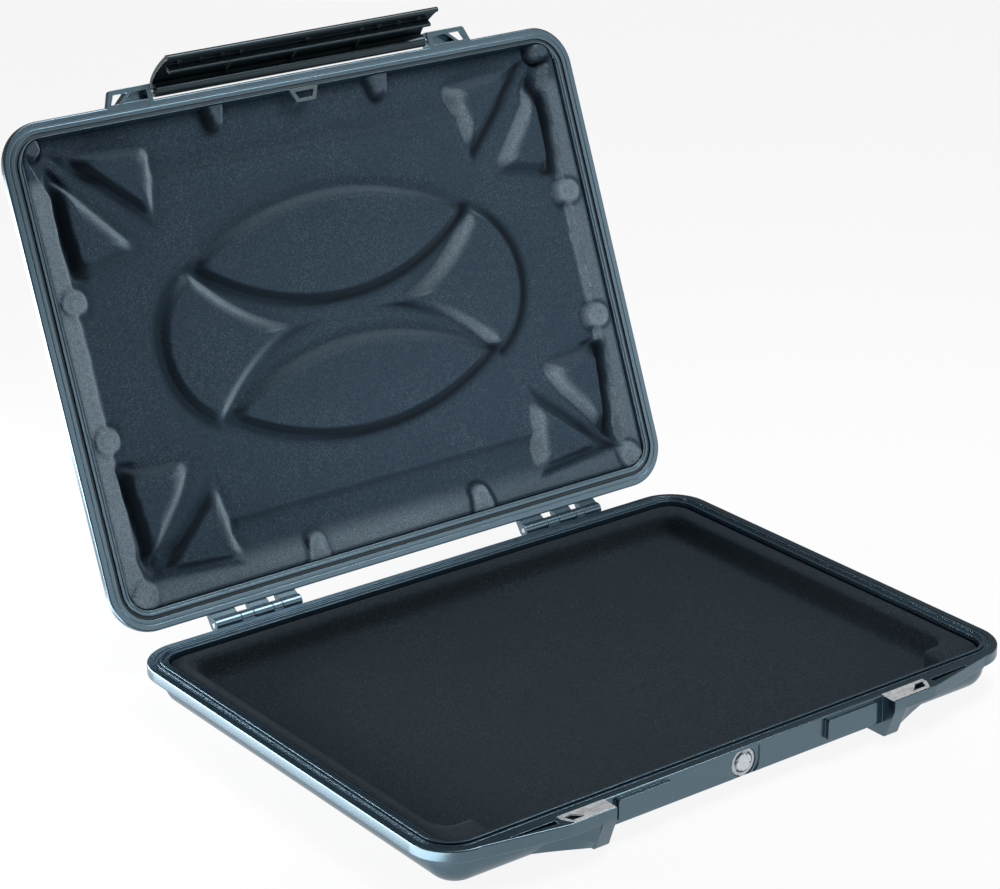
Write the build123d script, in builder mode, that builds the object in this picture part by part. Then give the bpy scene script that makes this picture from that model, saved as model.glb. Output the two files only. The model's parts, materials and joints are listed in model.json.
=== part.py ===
from build123d import *
import math
import os

# Hard laptop case: a shallow tray and a shallow cover on two rear hinges, with one wide front latch flap.
# Frame: X to the right seen from the front, Y to the back, Z up, origin at the middle of the flat underside.
# The cover and the flap are modelled closed and then turned to their rest pose, in which both stand open.

# ---------------------------------------------------------------- driving dimensions (mm)
rim_width = 436.0           # over the rim, left to right
rim_depth = 320.0           # over the rim, front to back
rim_corner = 28.0           # plan radius of the rim's corners
base_depth = 28.0           # underside to parting plane
lid_depth = 20.0            # parting plane to the cover's outer face
wall = 3.0                  # moulded wall of both shells
side_inset = 10.0           # body wall behind the rim's edge, sides and back
front_inset = 7.0           # body wall behind the rim's edge, front
parting_gap = 0.4           # cover's rim above the base's rim when closed
skirt_height = 7.5          # depth of the base's rim band
lid_flange = 4.5            # thickness of the cover's rim flange
base_round = 14.0           # radius of the base's bottom edge
lid_round = 8.0             # radius of the cover's outer top edge
lid_draft = 12.0            # slope of the cover's side walls, degrees
edge_round = 1.0            # small radius on the rims' outer edges
ring_inset = 44.0           # ridge on the cover that seats in a groove under another base, from the rim's edge
ring_width = 5.0
ring_height = 0.8
ring_margin = 0.6           # groove is wider than the ridge by this on each side

# rim lines and seal
line_insets = (4.7, 6.8)    # fine moulded grooves in the base's rim, from the rim's edge
line_width = 1.1
line_depth = 0.9
rib_inset = 7.9             # base's sealing rib, from the rim's edge
rib_width = 1.2
rib_height = 1.2
groove_margin = 0.7         # cover's groove is wider than the rib by this on each side
groove_depth = 2.6
seal_thickness = 1.4
seal_margin = 0.3           # seal is narrower than the groove by this on each side
lid_lines = ((3.9, 0.5), (11.3, 0.8))            # fine grooves in the cover's rim: inset from its edge, depth
lid_line_width = 0.9

# poses
lid_open_angle = 111.5      # closed to the rest pose
latch_open_angle = 34.0     # latched to the rest pose

# hinges
hinge_offset = 7.0          # axis behind the rim's back edge
hinge_drop = 1.0            # axis below the parting plane
hinge_inset = 96.5          # middle of each hinge from the rim's side edge
knuckle_radius = 4.2
hinge_pin_radius = 1.5
pin_clearance = 0.05        # radial, in bores that turn
pin_hold = 0.02             # radial, in bores that hold the pin
knuckle_gap = 0.4           # end gap between knuckles
knuckle_lengths = (18.5, 9.0, 14.0, 6.6, 14.0)   # cover, base, cover, base, cover
arm_root = 3.0              # arms reach this far into the rim

# front lugs, fins and catch pads
fin_inset = 112.5           # inner face of each fin from the rim's side edge
fin_width = 9.5
# fin's front edge: set back from the lug's front edge, and below the parting plane
fin_line = ((0.0, 4.5), (0.5, 8.5), (2.4, 13.5), (4.8, 20.0), (7.4, 26.8))
fin_toe = 3.0               # radius of the fin's toe
fin_clear = 1.2             # fin's foot above the underside
lug_reach = 10.5            # lug stands this far in front of the rim
lug_span = 32.5             # lug keeps its full reach this far from the fin's inner face
lug_bend = 12.0             # plan radius where the lug starts to taper
lug_band = 8.0              # height of the lug's upper band
lug_round = 0.8             # radius along the lug's front edges
web_span = 46.5             # web runs out into the body this far from the fin's inner face
web_hollow = 2.4            # how strongly the web's front is hollowed
web_foot = 1.1              # how strongly its lower edge is hollowed
web_shoulder = 1.4          # web's section at the fin: its top, middle and foot behind the lug's front edge
web_waist = (5.2, 21.0)     # the middle's second value is below the parting plane
web_toe = 10.6
web_tail = ((0.2, 0.0), (1.2, 10.0), (4.6, 4.5), 0.8)   # section at the web's end: behind the body's front, height
panel_height = 18.0         # flat front wall between the fins
catch_gap = 7.5             # catch pad from the fin's inner face
catch_width = 38.6
catch_top = 1.7             # below the parting plane
catch_bottom = 14.7
catch_reach = 3.0
catch_round = 1.5
slot_start = 36.5           # long slot in the top of each lug, from the fin's inner face
slot_length = 30.0
slot_wall = 1.6             # from the rim's edge line to the slot
slot_wide = 3.6
slot_narrow = 1.4
slot_depth = 5.0

# padlock holes, plates and cover brackets
bracket_gap = 1.0           # cover bracket's inner face from the fin's inner face
bracket_root_width = 33.4   # its width at the rim
bracket_tip_width = 29.6    # its width at the front, before rounding
bracket_reach = 10.0
bracket_height = 8.4
bracket_ring = 3.2          # thickness of the bracket's ring round the padlock hole
bracket_round = 2.5
bracket_plate = 3.5         # end plate that holds the latch pin
bracket_web = 2.6           # between the blind pocket and the padlock hole
bracket_pocket_depth = 5.4
lock_back = 1.0             # hole's back edge in front of the rim
lock_front = 7.0            # hole's front edge in front of the rim
lock_corners = (24.1, 29.9, 27.1, 17.1)          # hole's corners from the bracket's inner face, back pair first
plate_start = -1.0          # plate's near end from the bracket's inner face
plate_width = 33.0
plate_back = -1.2           # plate's edges in front of the rim
plate_front = 9.5
plate_thickness = 0.8
plate_fit = 0.1             # gap round the plate in its pocket
plate_slant = 4.0

# latch flap
latch_axis_reach = 5.3      # pivot in front of the rim
latch_axis_rise = 3.0       # pivot above the parting plane
latch_gap = 3.0             # flap's end from the bracket's inner face
latch_skin = 2.6
latch_lip_radius = 1.7
roll_radius = 4.2           # the flap turns on this roll along its upper edge
bore_length = 19.0          # bores for the pins, from both ends
latch_pin_radius = 1.5
latch_pin_inset = 17.5      # pin's inner end from the flap's end
hook_reach = 4.4            # hook's inner edge behind the pivot
hook_top = 18.2             # hook's upper face below the pivot
hook_thickness = 2.4
hook_end = 3.5              # hook ends this far from the flap's ends
latch_rib_width = 1.6
latch_rib_inset = 53.5      # outer ribs from the flap's ends, a third is in the middle
latch_boss_radius = 1.4
latch_boss_rise = 2.6       # boss centres below the hook's underside
latch_boss_insets = (12.0, 28.0, 43.5, 57.5)     # from the flap's ends
latch_boss_middle = 4.5     # one more boss near the middle
# middle line of the flap's skin from the pivot, back to front and down
latch_line = ((1.1, 2.4), (-1.6, 2.6), (-4.4, -0.6), (-5.4, -7.0), (-4.7, -13.2), (-2.2, -23.0), (0.2, -29.6))

# pressure vent
vent_x = -3.0
vent_drop = 10.0            # vent axis below the parting plane
vent_flange_radius = 8.6
vent_flange_thickness = 1.5
vent_recess_depth = 4.0
vent_recess_margin = 0.4
vent_flat = 7.7             # flat on the flange's upper side, above the axis
vent_dish_depth = 0.8       # shallow seat round the recess
vent_dish_half_width = 11.5
vent_dish_drop = 9.8        # its lower edge below the axis
vent_dish_round = 9.0
vent_stem_radius = 4.8
vent_stem_bore = 3.0
vent_fit = 0.05             # radial gap round the stem
vent_seal_thickness = 1.0
vent_boss_reach = 3.4       # inner boss behind the front wall
vent_boss_half_width = 10.0
vent_boss_bottom = 9.0      # boss's underside above the base's underside
vent_nut_radius = 7.0
vent_nut_thickness = 2.6
vent_thread_end = 0.8       # stem shows this far past its nut
membrane_radius = 4.2
membrane_thickness = 0.4
vent_cap_radius = 5.4
vent_cap_rise = 0.9
vent_notch_radius = 0.9
vent_notch_angles = (70, 160, 250, 340)

# foam liners
foam_clearance = 0.3
base_floor_foam = 5.0
base_wall_foam = 12.7       # side and back walls of the foam tray
front_block_depth = 24.0    # blocks of the foam tray in the front corners
front_block_width = 34.0
base_foam_drop = 2.0        # foam's top face below the parting plane
pocket_corner = 10.0
lid_border_rise = 2.0       # foam's border above the parting plane
lid_floor_rise = 10.0       # foam's floor above the parting plane
plateau_rise = 6.6          # raised middle of the floor, above the parting plane
plateau_front = 36.0        # its edges from the pocket's front and back
plateau_back = 25.0
plateau_slope = 65.0        # slope of its edges, degrees
lid_side_border = 12.0
lid_back_border = 17.0
lid_front_border = 4.0
lid_pocket_slope = 25.0     # slope of the pocket's walls, degrees
pad_rise = 1.2              # tops of the raised pads above the parting plane
pad_round = 2.0
peg_radius = 6.5
front_peg = (63.0, 4.2)     # from the middle, and behind the pocket's front edge
back_peg = (64.0, -0.3)     # from the middle, and in front of the pocket's back edge
side_peg_inset = 2.7        # inside the pocket's side edge
side_peg_places = (-47.0, 40.0)
corner_peg_front = 6.7
corner_peg_back = 1.7
lens_pads = ((102.5, -52.0, -80.4, -15.4), (99.5, 44.3, 15.8, 72.8))   # tip x, tip y, front y, back y
fan_pad = ((113.0, -45.0), (47.5, -1.7), (112.0, 41.0), (134.0, -2.0))  # tip, inner point, heel, outer middle
# corners of the triangular pads, inwards from the pocket's side edge and from its front or back edge
front_triangles = (((26.7, 14.6), (74.7, 16.7), (67.7, 51.3)), ((9.7, 30.0), (46.7, 71.3), (8.2, 78.0), (6.2, 41.0)))
back_triangles = (((6.2, 65.7), (46.7, 62.7), (13.7, 19.2)), ((65.7, 40.2), (70.7, 2.5), (24.2, 5.2)))

# trapezoid loop at the cover's front rim
loop_x = 3.0
loop_outer = 11.0           # half width at the rim
loop_inner = 7.2            # half width at its free end
loop_front = 10.0           # behind the rim's edge
loop_length = 9.0
loop_bar = 2.2
loop_thickness = 1.6
loop_margin = 0.3

# ---------------------------------------------------------------- worked out sizes
half_width = rim_width / 2
rim_front = -rim_depth / 2
rim_back = rim_depth / 2
parting = base_depth
lid_bottom = parting + parting_gap
lid_top = parting + lid_depth
flange_top = lid_bottom + lid_flange
body_side = half_width - side_inset
body_front = rim_front + front_inset
body_back = rim_back - side_inset
body_corner = rim_corner - side_inset
cavity_side = body_side - wall
cavity_front = body_front + wall
cavity_back = body_back - wall
cavity_corner = body_corner - wall
hinge_centre = half_width - hinge_inset
hinge_y = rim_back + hinge_offset
hinge_z = parting - hinge_drop
latch_y = rim_front - latch_axis_reach
latch_z = parting + latch_axis_rise
hinge_length = sum(knuckle_lengths) + knuckle_gap * (len(knuckle_lengths) - 1)
lug_front = rim_front - lug_reach
lug_end = half_width - rim_corner
fin_inner = half_width - fin_inset
fin_outer = fin_inner + fin_width
lug_full = fin_inner + lug_span
web_end = fin_inner + web_span
catch_far = fin_inner - catch_gap
catch_near = catch_far - catch_width
slot_near = fin_inner + slot_start
slot_far = slot_near + slot_length
bracket_inner = fin_inner + bracket_gap
bracket_root = bracket_inner + bracket_root_width
bracket_tip = bracket_inner + bracket_tip_width
bracket_pocket_near = bracket_inner + bracket_plate
lock_back_near, lock_back_far, lock_front_far, lock_front_near = (bracket_inner + far for far in lock_corners)
plate_near = bracket_inner + plate_start
plate_far = plate_near + plate_width
latch_half_width = bracket_inner - latch_gap
latch_rib_places = (latch_rib_inset - latch_half_width, 0.0, latch_half_width - latch_rib_inset)
latch_boss_places = [side * (latch_half_width - inset) for side in (-1, 1) for inset in latch_boss_insets]
latch_boss_places.append(latch_boss_middle)
draft_slope = math.tan(math.radians(lid_draft))

lid_turn = Location((0, hinge_y, hinge_z)) * Location((0, 0, 0), (-lid_open_angle, 0, 0))
lid_pose = lid_turn * Location((0, -hinge_y, -hinge_z))
latch_turn = Location((0, latch_y, latch_z)) * Location((0, 0, 0), (-latch_open_angle, 0, 0))
latch_pose = lid_pose * latch_turn * Location((0, -latch_y, -latch_z))

os.makedirs("parts", exist_ok=True)


# ---------------------------------------------------------------- outlines shared by several pieces
def outline(side, front, back, corner, mode=Mode.ADD):
    """Rounded plan outline, symmetric left and right, for use in a sketch."""
    with Locations((0, (front + back) / 2)):
        RectangleRounded(2 * side, back - front, corner, mode=mode)


def rim_outline(inset=0.0, mode=Mode.ADD):
    """Plan outline of the rim, moved inwards."""
    outline(half_width - inset, rim_front + inset, rim_back - inset, rim_corner - inset, mode)


def ring_outline(inset=0.0, mode=Mode.ADD):
    """Plan outline of the stacking ridge's outer edge, moved inwards."""
    side = half_width - ring_inset - inset
    back = rim_back - ring_inset - inset
    outline(side, -back, back, rim_corner - inset, mode)


def both_sides(points, mode=Mode.ADD):
    """The same outline on the right and on the left, for use in a sketch."""
    for side in (1, -1):
        Polygon(*[(side * x, y) for x, y in points], align=None, mode=mode)


def plate_outline(margin=0.0):
    """Plan outline of the padlock plate on the right, made larger all round."""
    near = plate_near - margin
    far = plate_far + margin
    back = rim_front - plate_back + margin
    front = rim_front - plate_front - margin
    return [(near, back), (far, back), (far, back - plate_slant), (far - plate_slant, front), (near, front)]


def side_plane(x):
    """Upright plane across the case: sketch X runs to the back, sketch Y up."""
    return Plane(origin=(x, 0, 0), x_dir=(0, 1, 0), z_dir=(1, 0, 0))


def front_plane(y):
    """Upright plane that faces the front: sketch X runs right, sketch Y up."""
    return Plane(origin=(0, y, 0), x_dir=(1, 0, 0), z_dir=(0, -1, 0))


def vent_disc(radius, flat):
    """Disc on the vent's axis with a flat on its upper side, for use in a sketch."""
    with Locations((vent_x, vent_z)):
        Circle(radius)
    with Locations((vent_x, vent_z + flat + radius / 2)):
        Rectangle(2 * radius, radius, mode=Mode.SUBTRACT)


def knuckle_spans(kinds):
    """Start along X and length of the chosen knuckles of both hinges."""
    spans = []
    for side in (1, -1):
        start = side * hinge_centre - hinge_length / 2
        for index, length in enumerate(knuckle_lengths):
            if index in kinds:
                spans.append((start, length))
            start += length + knuckle_gap
    return spans


lid_knuckles = knuckle_spans((0, 2, 4))
base_knuckles = knuckle_spans((1, 3))
lock_hole = [(lock_back_near, rim_front - lock_back), (lock_back_far, rim_front - lock_back),
             (lock_front_far, rim_front - lock_front), (lock_front_near, rim_front - lock_front)]

# ================================================================ base shell
# Inside of the tray, with its rounded bottom edge.
with BuildPart() as tray_room:
    with BuildSketch(Plane.XY.offset(wall)):
        outline(cavity_side, cavity_front, cavity_back, cavity_corner)
    extrude(amount=base_depth)
    fillet(tray_room.edges().group_by(Axis.Z)[0], radius=base_round - wall)

# Rim band with small rounds on its outer edges.
with BuildPart() as rim_block:
    with BuildSketch(Plane.XY.offset(parting - skirt_height)):
        rim_outline()
    extrude(amount=skirt_height)
    fillet(rim_block.edges().group_by(Axis.Z)[0] + rim_block.edges().group_by(Axis.Z)[-1], radius=edge_round)

# Side profiles below the lug's band: the fin's, and the one just inside the body's wall where the web ends.
web_back = body_front + base_round - wall
web_top = parting - lug_band + lug_round
fin_profile = ((lug_front + web_shoulder, web_top), (lug_front + web_waist[0], parting - web_waist[1]),
               (lug_front + web_toe, fin_clear), (web_back, fin_clear), (web_back, web_top))
body_profile = ((body_front + web_tail[0][0], web_top), (body_front + web_tail[1][0], web_tail[1][1]),
                (body_front + web_tail[2][0], web_tail[2][1]), (web_back, web_tail[3]), (web_back, web_top))


def web_section(x):
    """Profile of the hollowed web at one place between the fin and its end."""
    place = (web_end - x) / (web_end - fin_outer)
    points = []
    for fin, body, hollow in zip(fin_profile, body_profile, (web_hollow, web_hollow, web_foot, web_foot, web_foot)):
        share = place ** hollow
        points.append((body[0] + share * (fin[0] - body[0]), body[1] + share * (fin[1] - body[1])))
    return points


# Right fin: an upright plate whose front edge curves back to a rounded toe.
with BuildPart() as fin_block:
    with BuildSketch(side_plane(fin_inner)):
        with BuildLine():
            fin_edge = Spline(*[(lug_front + back, parting - drop) for back, drop in fin_line],
                              tangents=((0, -1), (0.4, -1)))
            Polyline(fin_edge @ 1, (web_back, fin_clear), (web_back, parting), (lug_front, parting), fin_edge @ 0)
        make_face()
    extrude(amount=fin_width)
    fin_rows = fin_block.edges().filter_by(Axis.X).group_by(Axis.Y)
    fin_top = [edge for edge in fin_rows[0] if edge.center().Z > parting - lug_round]
    fillet(fin_top, radius=lug_round)
    fin_low = fin_block.edges().filter_by(Axis.X).group_by(Axis.Z)[0].sort_by(Axis.Y)[0]
    fillet(fin_low, radius=fin_toe)

# Right lug: upper band, fin and the hollowed web beside the fin.
with BuildPart() as lug_block:
    with BuildSketch(Plane.XY.offset(parting - lug_band)) as band_plan:
        Polygon((lug_end, rim_front), (lug_full, lug_front), (fin_outer, lug_front),
                (fin_outer, cavity_front), (lug_end, cavity_front), align=None)
        fillet(band_plan.vertices().sort_by_distance((lug_full, lug_front))[0], radius=lug_bend)
    extrude(amount=lug_band)
    front_edges = lug_block.edges().filter_by(lambda edge: edge.center().Y < rim_front - edge_round)
    fillet(front_edges.group_by(Axis.Z)[0] + front_edges.group_by(Axis.Z)[-1], radius=lug_round)
    add(fin_block.part)
    web_sides = []
    for place in (fin_outer, 0.75 * fin_outer + 0.25 * web_end, 0.45 * fin_outer + 0.55 * web_end, web_end):
        with BuildSketch(side_plane(place), mode=Mode.PRIVATE) as web_side:
            Polygon(*web_section(place), align=None)
        web_sides.append(web_side.sketch.faces()[0])
    loft(web_sides)

vent_z = parting - vent_drop
vent_floor_y = rim_front + vent_recess_depth
vent_boss_y = cavity_front + vent_boss_reach
foot_angle = math.radians(60)   # where the front wall's underside meets the rounded bottom edge
foot_y = body_front + base_round * (1 - math.cos(foot_angle))
foot_z = base_round * (1 - math.sin(foot_angle))

with BuildPart() as base_shell:
    # tray body with its rounded bottom edge
    with BuildSketch(Plane.XY):
        outline(body_side, body_front, body_back, body_corner)
    extrude(amount=parting - edge_round)
    fillet(base_shell.edges().group_by(Axis.Z)[0], radius=base_round)
    add(rim_block.part)
    # flat front wall between the fins, its underside running into the rounded edge
    with BuildSketch(side_plane(-fin_inner)):
        Polygon((rim_front, parting - edge_round), (rim_front, parting - panel_height), (foot_y, foot_z),
                (cavity_front, base_round), (cavity_front, parting - edge_round), align=None)
    extrude(amount=2 * fin_inner)
    # lugs
    add(lug_block.part)
    add(lug_block.part.mirror(Plane.YZ))
    # catch pads
    catch_middle = (catch_near + catch_far) / 2
    catch_level = parting - (catch_top + catch_bottom) / 2
    with BuildSketch(front_plane(rim_front)):
        with Locations((catch_middle, catch_level), (-catch_middle, catch_level)):
            RectangleRounded(catch_far - catch_near, catch_bottom - catch_top, catch_round)
    extrude(amount=catch_reach)
    # rear hinge arms and knuckles
    arm_bottom = parting - skirt_height + edge_round
    for start, length in base_knuckles:
        with BuildSketch(side_plane(start)):
            Polygon((rim_back - arm_root, arm_bottom), (rim_back, arm_bottom), (hinge_y, hinge_z - knuckle_radius),
                    (hinge_y, parting - edge_round), (rim_back - arm_root, parting - edge_round), align=None)
            with Locations((hinge_y, hinge_z)):
                Circle(knuckle_radius)
                Circle(hinge_pin_radius + pin_hold, mode=Mode.SUBTRACT)
        extrude(amount=length)
    # inside, and the vent's boss behind the front wall
    add(tray_room.part, mode=Mode.SUBTRACT)
    vent_boss_start = cavity_front - wall / 2
    with BuildSketch(Plane.XY.offset(vent_boss_bottom)):
        with Locations((vent_x, (vent_boss_start + vent_boss_y) / 2)):
            Rectangle(2 * vent_boss_half_width, vent_boss_y - vent_boss_start)
    extrude(amount=parting - wall - vent_boss_bottom)
    # sealing rib and the fine grooves outside it
    with BuildSketch(Plane.XY.offset(parting)):
        rim_outline(rib_inset)
        rim_outline(rib_inset + rib_width, Mode.SUBTRACT)
    extrude(amount=rib_height)
    for inset in line_insets:
        with BuildSketch(Plane.XY.offset(parting - line_depth)):
            rim_outline(inset)
            rim_outline(inset + line_width, Mode.SUBTRACT)
        extrude(amount=line_depth, mode=Mode.SUBTRACT)
    # vent seat
    with BuildSketch(front_plane(vent_floor_y)):
        vent_disc(vent_flange_radius + vent_recess_margin, vent_flat + vent_recess_margin)
    extrude(amount=vent_recess_depth, mode=Mode.SUBTRACT)
    dish_height = vent_dish_drop + vent_flat + vent_recess_margin
    with BuildSketch(front_plane(rim_front + vent_dish_depth)) as dish:
        with Locations((vent_x, vent_z - vent_dish_drop + dish_height / 2)):
            Rectangle(2 * vent_dish_half_width, dish_height)
        fillet(dish.vertices().group_by(Axis.Y)[0], radius=vent_dish_round)
    extrude(amount=vent_dish_depth, mode=Mode.SUBTRACT)
    with BuildSketch(front_plane(vent_boss_y)):
        with Locations((vent_x, vent_z)):
            Circle(vent_stem_radius + vent_fit)
    extrude(amount=vent_boss_y - rim_front, mode=Mode.SUBTRACT)
    # padlock holes, the plates' pockets and the long slots in the lugs
    with BuildSketch(Plane.XY):
        both_sides(lock_hole)
    extrude(amount=parting, mode=Mode.SUBTRACT)
    with BuildSketch(Plane.XY.offset(parting - plate_thickness)):
        both_sides(plate_outline(plate_fit))
    extrude(amount=plate_thickness, mode=Mode.SUBTRACT)
    slot_back = rim_front - slot_wall
    with BuildSketch(Plane.XY.offset(parting - slot_depth)):
        both_sides([(slot_near, slot_back), (slot_far, slot_back), (slot_far, slot_back - slot_narrow),
                    (slot_near, slot_back - slot_wide)])
    extrude(amount=slot_depth, mode=Mode.SUBTRACT)
    # stacking groove in the underside
    with BuildSketch(Plane.XY):
        ring_outline(-ring_margin)
        ring_outline(ring_width + ring_margin, Mode.SUBTRACT)
    extrude(amount=ring_height, mode=Mode.SUBTRACT)
base_shell.part.label = "base_shell"
export_step(base_shell.part, "parts/base_shell.step")

# ================================================================ cover shell, modelled closed
# Inside of the cover, with sloping walls and a rounded edge.
with BuildPart() as lid_room:
    with BuildSketch(Plane.XY.offset(lid_bottom)):
        outline(cavity_side, cavity_front, cavity_back, cavity_corner)
    extrude(amount=lid_top - wall - lid_bottom, taper=lid_draft)
    fillet(lid_room.edges().group_by(Axis.Z)[-1], radius=lid_round - wall)

# Rim flange with small rounds on its outer edges.
with BuildPart() as flange_block:
    with BuildSketch(Plane.XY.offset(lid_bottom)):
        rim_outline()
    extrude(amount=lid_flange)
    fillet(flange_block.edges().group_by(Axis.Z)[0] + flange_block.edges().group_by(Axis.Z)[-1], radius=edge_round)

lock_back_y = rim_front - lock_back
lock_front_y = rim_front - lock_front
groove_inset = rib_inset - groove_margin
groove_width = rib_width + 2 * groove_margin
loop_front_y = rim_front + loop_front
loop_back_y = loop_front_y + loop_length


def loop_outline(margin=0.0):
    """Outer plan outline of the trapezoid loop, made larger all round."""
    front = loop_front_y - margin
    back = loop_back_y + margin
    return [(loop_x - loop_outer - margin, front), (loop_x + loop_outer + margin, front),
            (loop_x + loop_inner + margin, back), (loop_x - loop_inner - margin, back)]


with BuildPart() as lid_shell:
    # body with sloping walls and a rounded outer edge
    with BuildSketch(Plane.XY.offset(lid_bottom)):
        outline(body_side, body_front, body_back, body_corner)
    extrude(amount=lid_top - lid_bottom, taper=lid_draft)
    fillet(lid_shell.edges().group_by(Axis.Z)[-1], radius=lid_round)
    add(flange_block.part)
    # front brackets: a thin ring round the padlock hole, and a deeper block that holds the latch pin
    with BuildSketch(Plane.XY.offset(lid_bottom)) as bracket_plan:
        both_sides([(bracket_root, rim_front), (bracket_tip, rim_front - bracket_reach),
                    (bracket_inner, rim_front - bracket_reach), (bracket_inner, cavity_front),
                    (bracket_root, cavity_front)])
        tip_corners = [bracket_plan.vertices().sort_by_distance((side * bracket_tip, rim_front - bracket_reach))[0]
                       for side in (1, -1)]
        fillet(tip_corners, radius=bracket_round)
    extrude(amount=bracket_ring)
    with BuildSketch(Plane.XY.offset(lid_bottom)):
        both_sides([(lock_back_near, cavity_front), (lock_back_near, rim_front - lock_back),
                    (lock_front_near, rim_front - lock_front), (lock_front_near, rim_front - bracket_reach),
                    (bracket_inner, rim_front - bracket_reach), (bracket_inner, cavity_front)])
    extrude(amount=bracket_height)
    # rear hinge arms and knuckles
    for start, length in lid_knuckles:
        with BuildSketch(side_plane(start)):
            Polygon((rim_back - arm_root, lid_bottom + edge_round), (rim_back - arm_root, flange_top),
                    (rim_back + edge_round, flange_top), (hinge_y + 1.5, hinge_z + knuckle_radius - 0.3),
                    (hinge_y, hinge_z), (hinge_y - knuckle_radius, hinge_z), (rim_back, lid_bottom + edge_round),
                    align=None)
            with Locations((hinge_y, hinge_z)):
                Circle(knuckle_radius)
                Circle(hinge_pin_radius + pin_clearance, mode=Mode.SUBTRACT)
        extrude(amount=length)
    # inside
    add(lid_room.part, mode=Mode.SUBTRACT)
    # seal groove and the fine grooves beside it
    rim_cuts = [(groove_inset, groove_width, groove_depth)]
    rim_cuts += [(inset, lid_line_width, depth) for inset, depth in lid_lines]
    for inset, width, depth in rim_cuts:
        with BuildSketch(Plane.XY.offset(lid_bottom)):
            rim_outline(inset)
            rim_outline(inset + width, Mode.SUBTRACT)
        extrude(amount=depth, mode=Mode.SUBTRACT)
    # padlock holes, blind pockets and the holes for the latch pins
    with BuildSketch(Plane.XY.offset(lid_bottom)):
        both_sides(lock_hole)
    extrude(amount=bracket_height, mode=Mode.SUBTRACT)
    with BuildSketch(Plane.XY.offset(lid_bottom)):
        both_sides([(bracket_pocket_near, lock_back_y), (lock_back_near - bracket_web, lock_back_y),
                    (lock_front_near - bracket_web, lock_front_y), (bracket_pocket_near, lock_front_y)])
    extrude(amount=bracket_pocket_depth, mode=Mode.SUBTRACT)
    for start in (bracket_inner, -bracket_pocket_near):
        with BuildSketch(side_plane(start)):
            with Locations((latch_y, latch_z)):
                Circle(latch_pin_radius + pin_hold)
        extrude(amount=bracket_plate, mode=Mode.SUBTRACT)
    # seat of the loop in the front rim
    with BuildSketch(Plane.XY.offset(lid_bottom)):
        Polygon(*loop_outline(loop_margin), align=None)
    extrude(amount=loop_thickness, mode=Mode.SUBTRACT)
    # stacking ridge on the outside
    with BuildSketch(Plane.XY.offset(lid_top)):
        ring_outline()
        ring_outline(ring_width, Mode.SUBTRACT)
    extrude(amount=ring_height)
lid_shell.part.label = "lid_shell"
lid_shell.part.move(lid_pose)
export_step(lid_shell.part, "parts/lid_shell.step")

# ================================================================ seal, loop and pins
groove_roof = lid_bottom + groove_depth
with BuildPart() as rim_seal:
    with BuildSketch(Plane.XY.offset(groove_roof - seal_thickness)):
        rim_outline(groove_inset + seal_margin)
        rim_outline(groove_inset + groove_width - seal_margin, Mode.SUBTRACT)
    extrude(amount=seal_thickness)
rim_seal.part.label = "rim_seal"
rim_seal.part.move(lid_pose)
export_step(rim_seal.part, "parts/rim_seal.step")

with BuildPart() as liner_loop:
    with BuildSketch(Plane.XY.offset(lid_bottom)):
        Polygon(*loop_outline(), align=None)
        Polygon((loop_x - loop_outer + 1.6 * loop_bar, loop_front_y + loop_bar),
                (loop_x + loop_outer - 1.6 * loop_bar, loop_front_y + loop_bar),
                (loop_x + loop_inner - loop_bar, loop_back_y - loop_bar),
                (loop_x - loop_inner + loop_bar, loop_back_y - loop_bar), align=None, mode=Mode.SUBTRACT)
    extrude(amount=loop_thickness)
    fillet(liner_loop.edges().filter_by(Axis.Z), radius=0.4)
liner_loop.part.label = "liner_loop"
liner_loop.part.move(lid_pose)
export_step(liner_loop.part, "parts/liner_loop.step")

for side, name in ((1, "right"), (-1, "left")):
    with BuildPart() as hinge_pin:
        with BuildSketch(side_plane(side * hinge_centre - hinge_length / 2)):
            with Locations((hinge_y, hinge_z)):
                Circle(hinge_pin_radius)
        extrude(amount=hinge_length)
    hinge_pin.part.label = "hinge_pin_" + name
    export_step(hinge_pin.part, "parts/hinge_pin_" + name + ".step")

    latch_pin_start = latch_half_width - latch_pin_inset
    latch_pin_length = bracket_pocket_near - latch_pin_start
    with BuildPart() as latch_pin:
        with BuildSketch(side_plane(side * latch_pin_start)):
            with Locations((latch_y, latch_z)):
                Circle(latch_pin_radius)
        extrude(amount=side * latch_pin_length)
    latch_pin.part.label = "latch_pin_" + name
    latch_pin.part.move(lid_pose)
    export_step(latch_pin.part, "parts/latch_pin_" + name + ".step")

    with BuildPart() as padlock_plate:
        with BuildSketch(Plane.XY.offset(parting - plate_thickness)):
            Polygon(*[(side * x, y) for x, y in plate_outline()], align=None)
            Polygon(*[(side * x, y) for x, y in lock_hole], align=None, mode=Mode.SUBTRACT)
        extrude(amount=plate_thickness)
    padlock_plate.part.label = "padlock_plate_" + name
    export_step(padlock_plate.part, "parts/padlock_plate_" + name + ".step")

# ================================================================ latch flap, modelled latched
skin_points = [(latch_y + forward, latch_z + up) for forward, up in latch_line]
hook_z = latch_z - hook_top
hook_back = latch_y + hook_reach
skin_inner = latch_y + latch_line[4][0]

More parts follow.
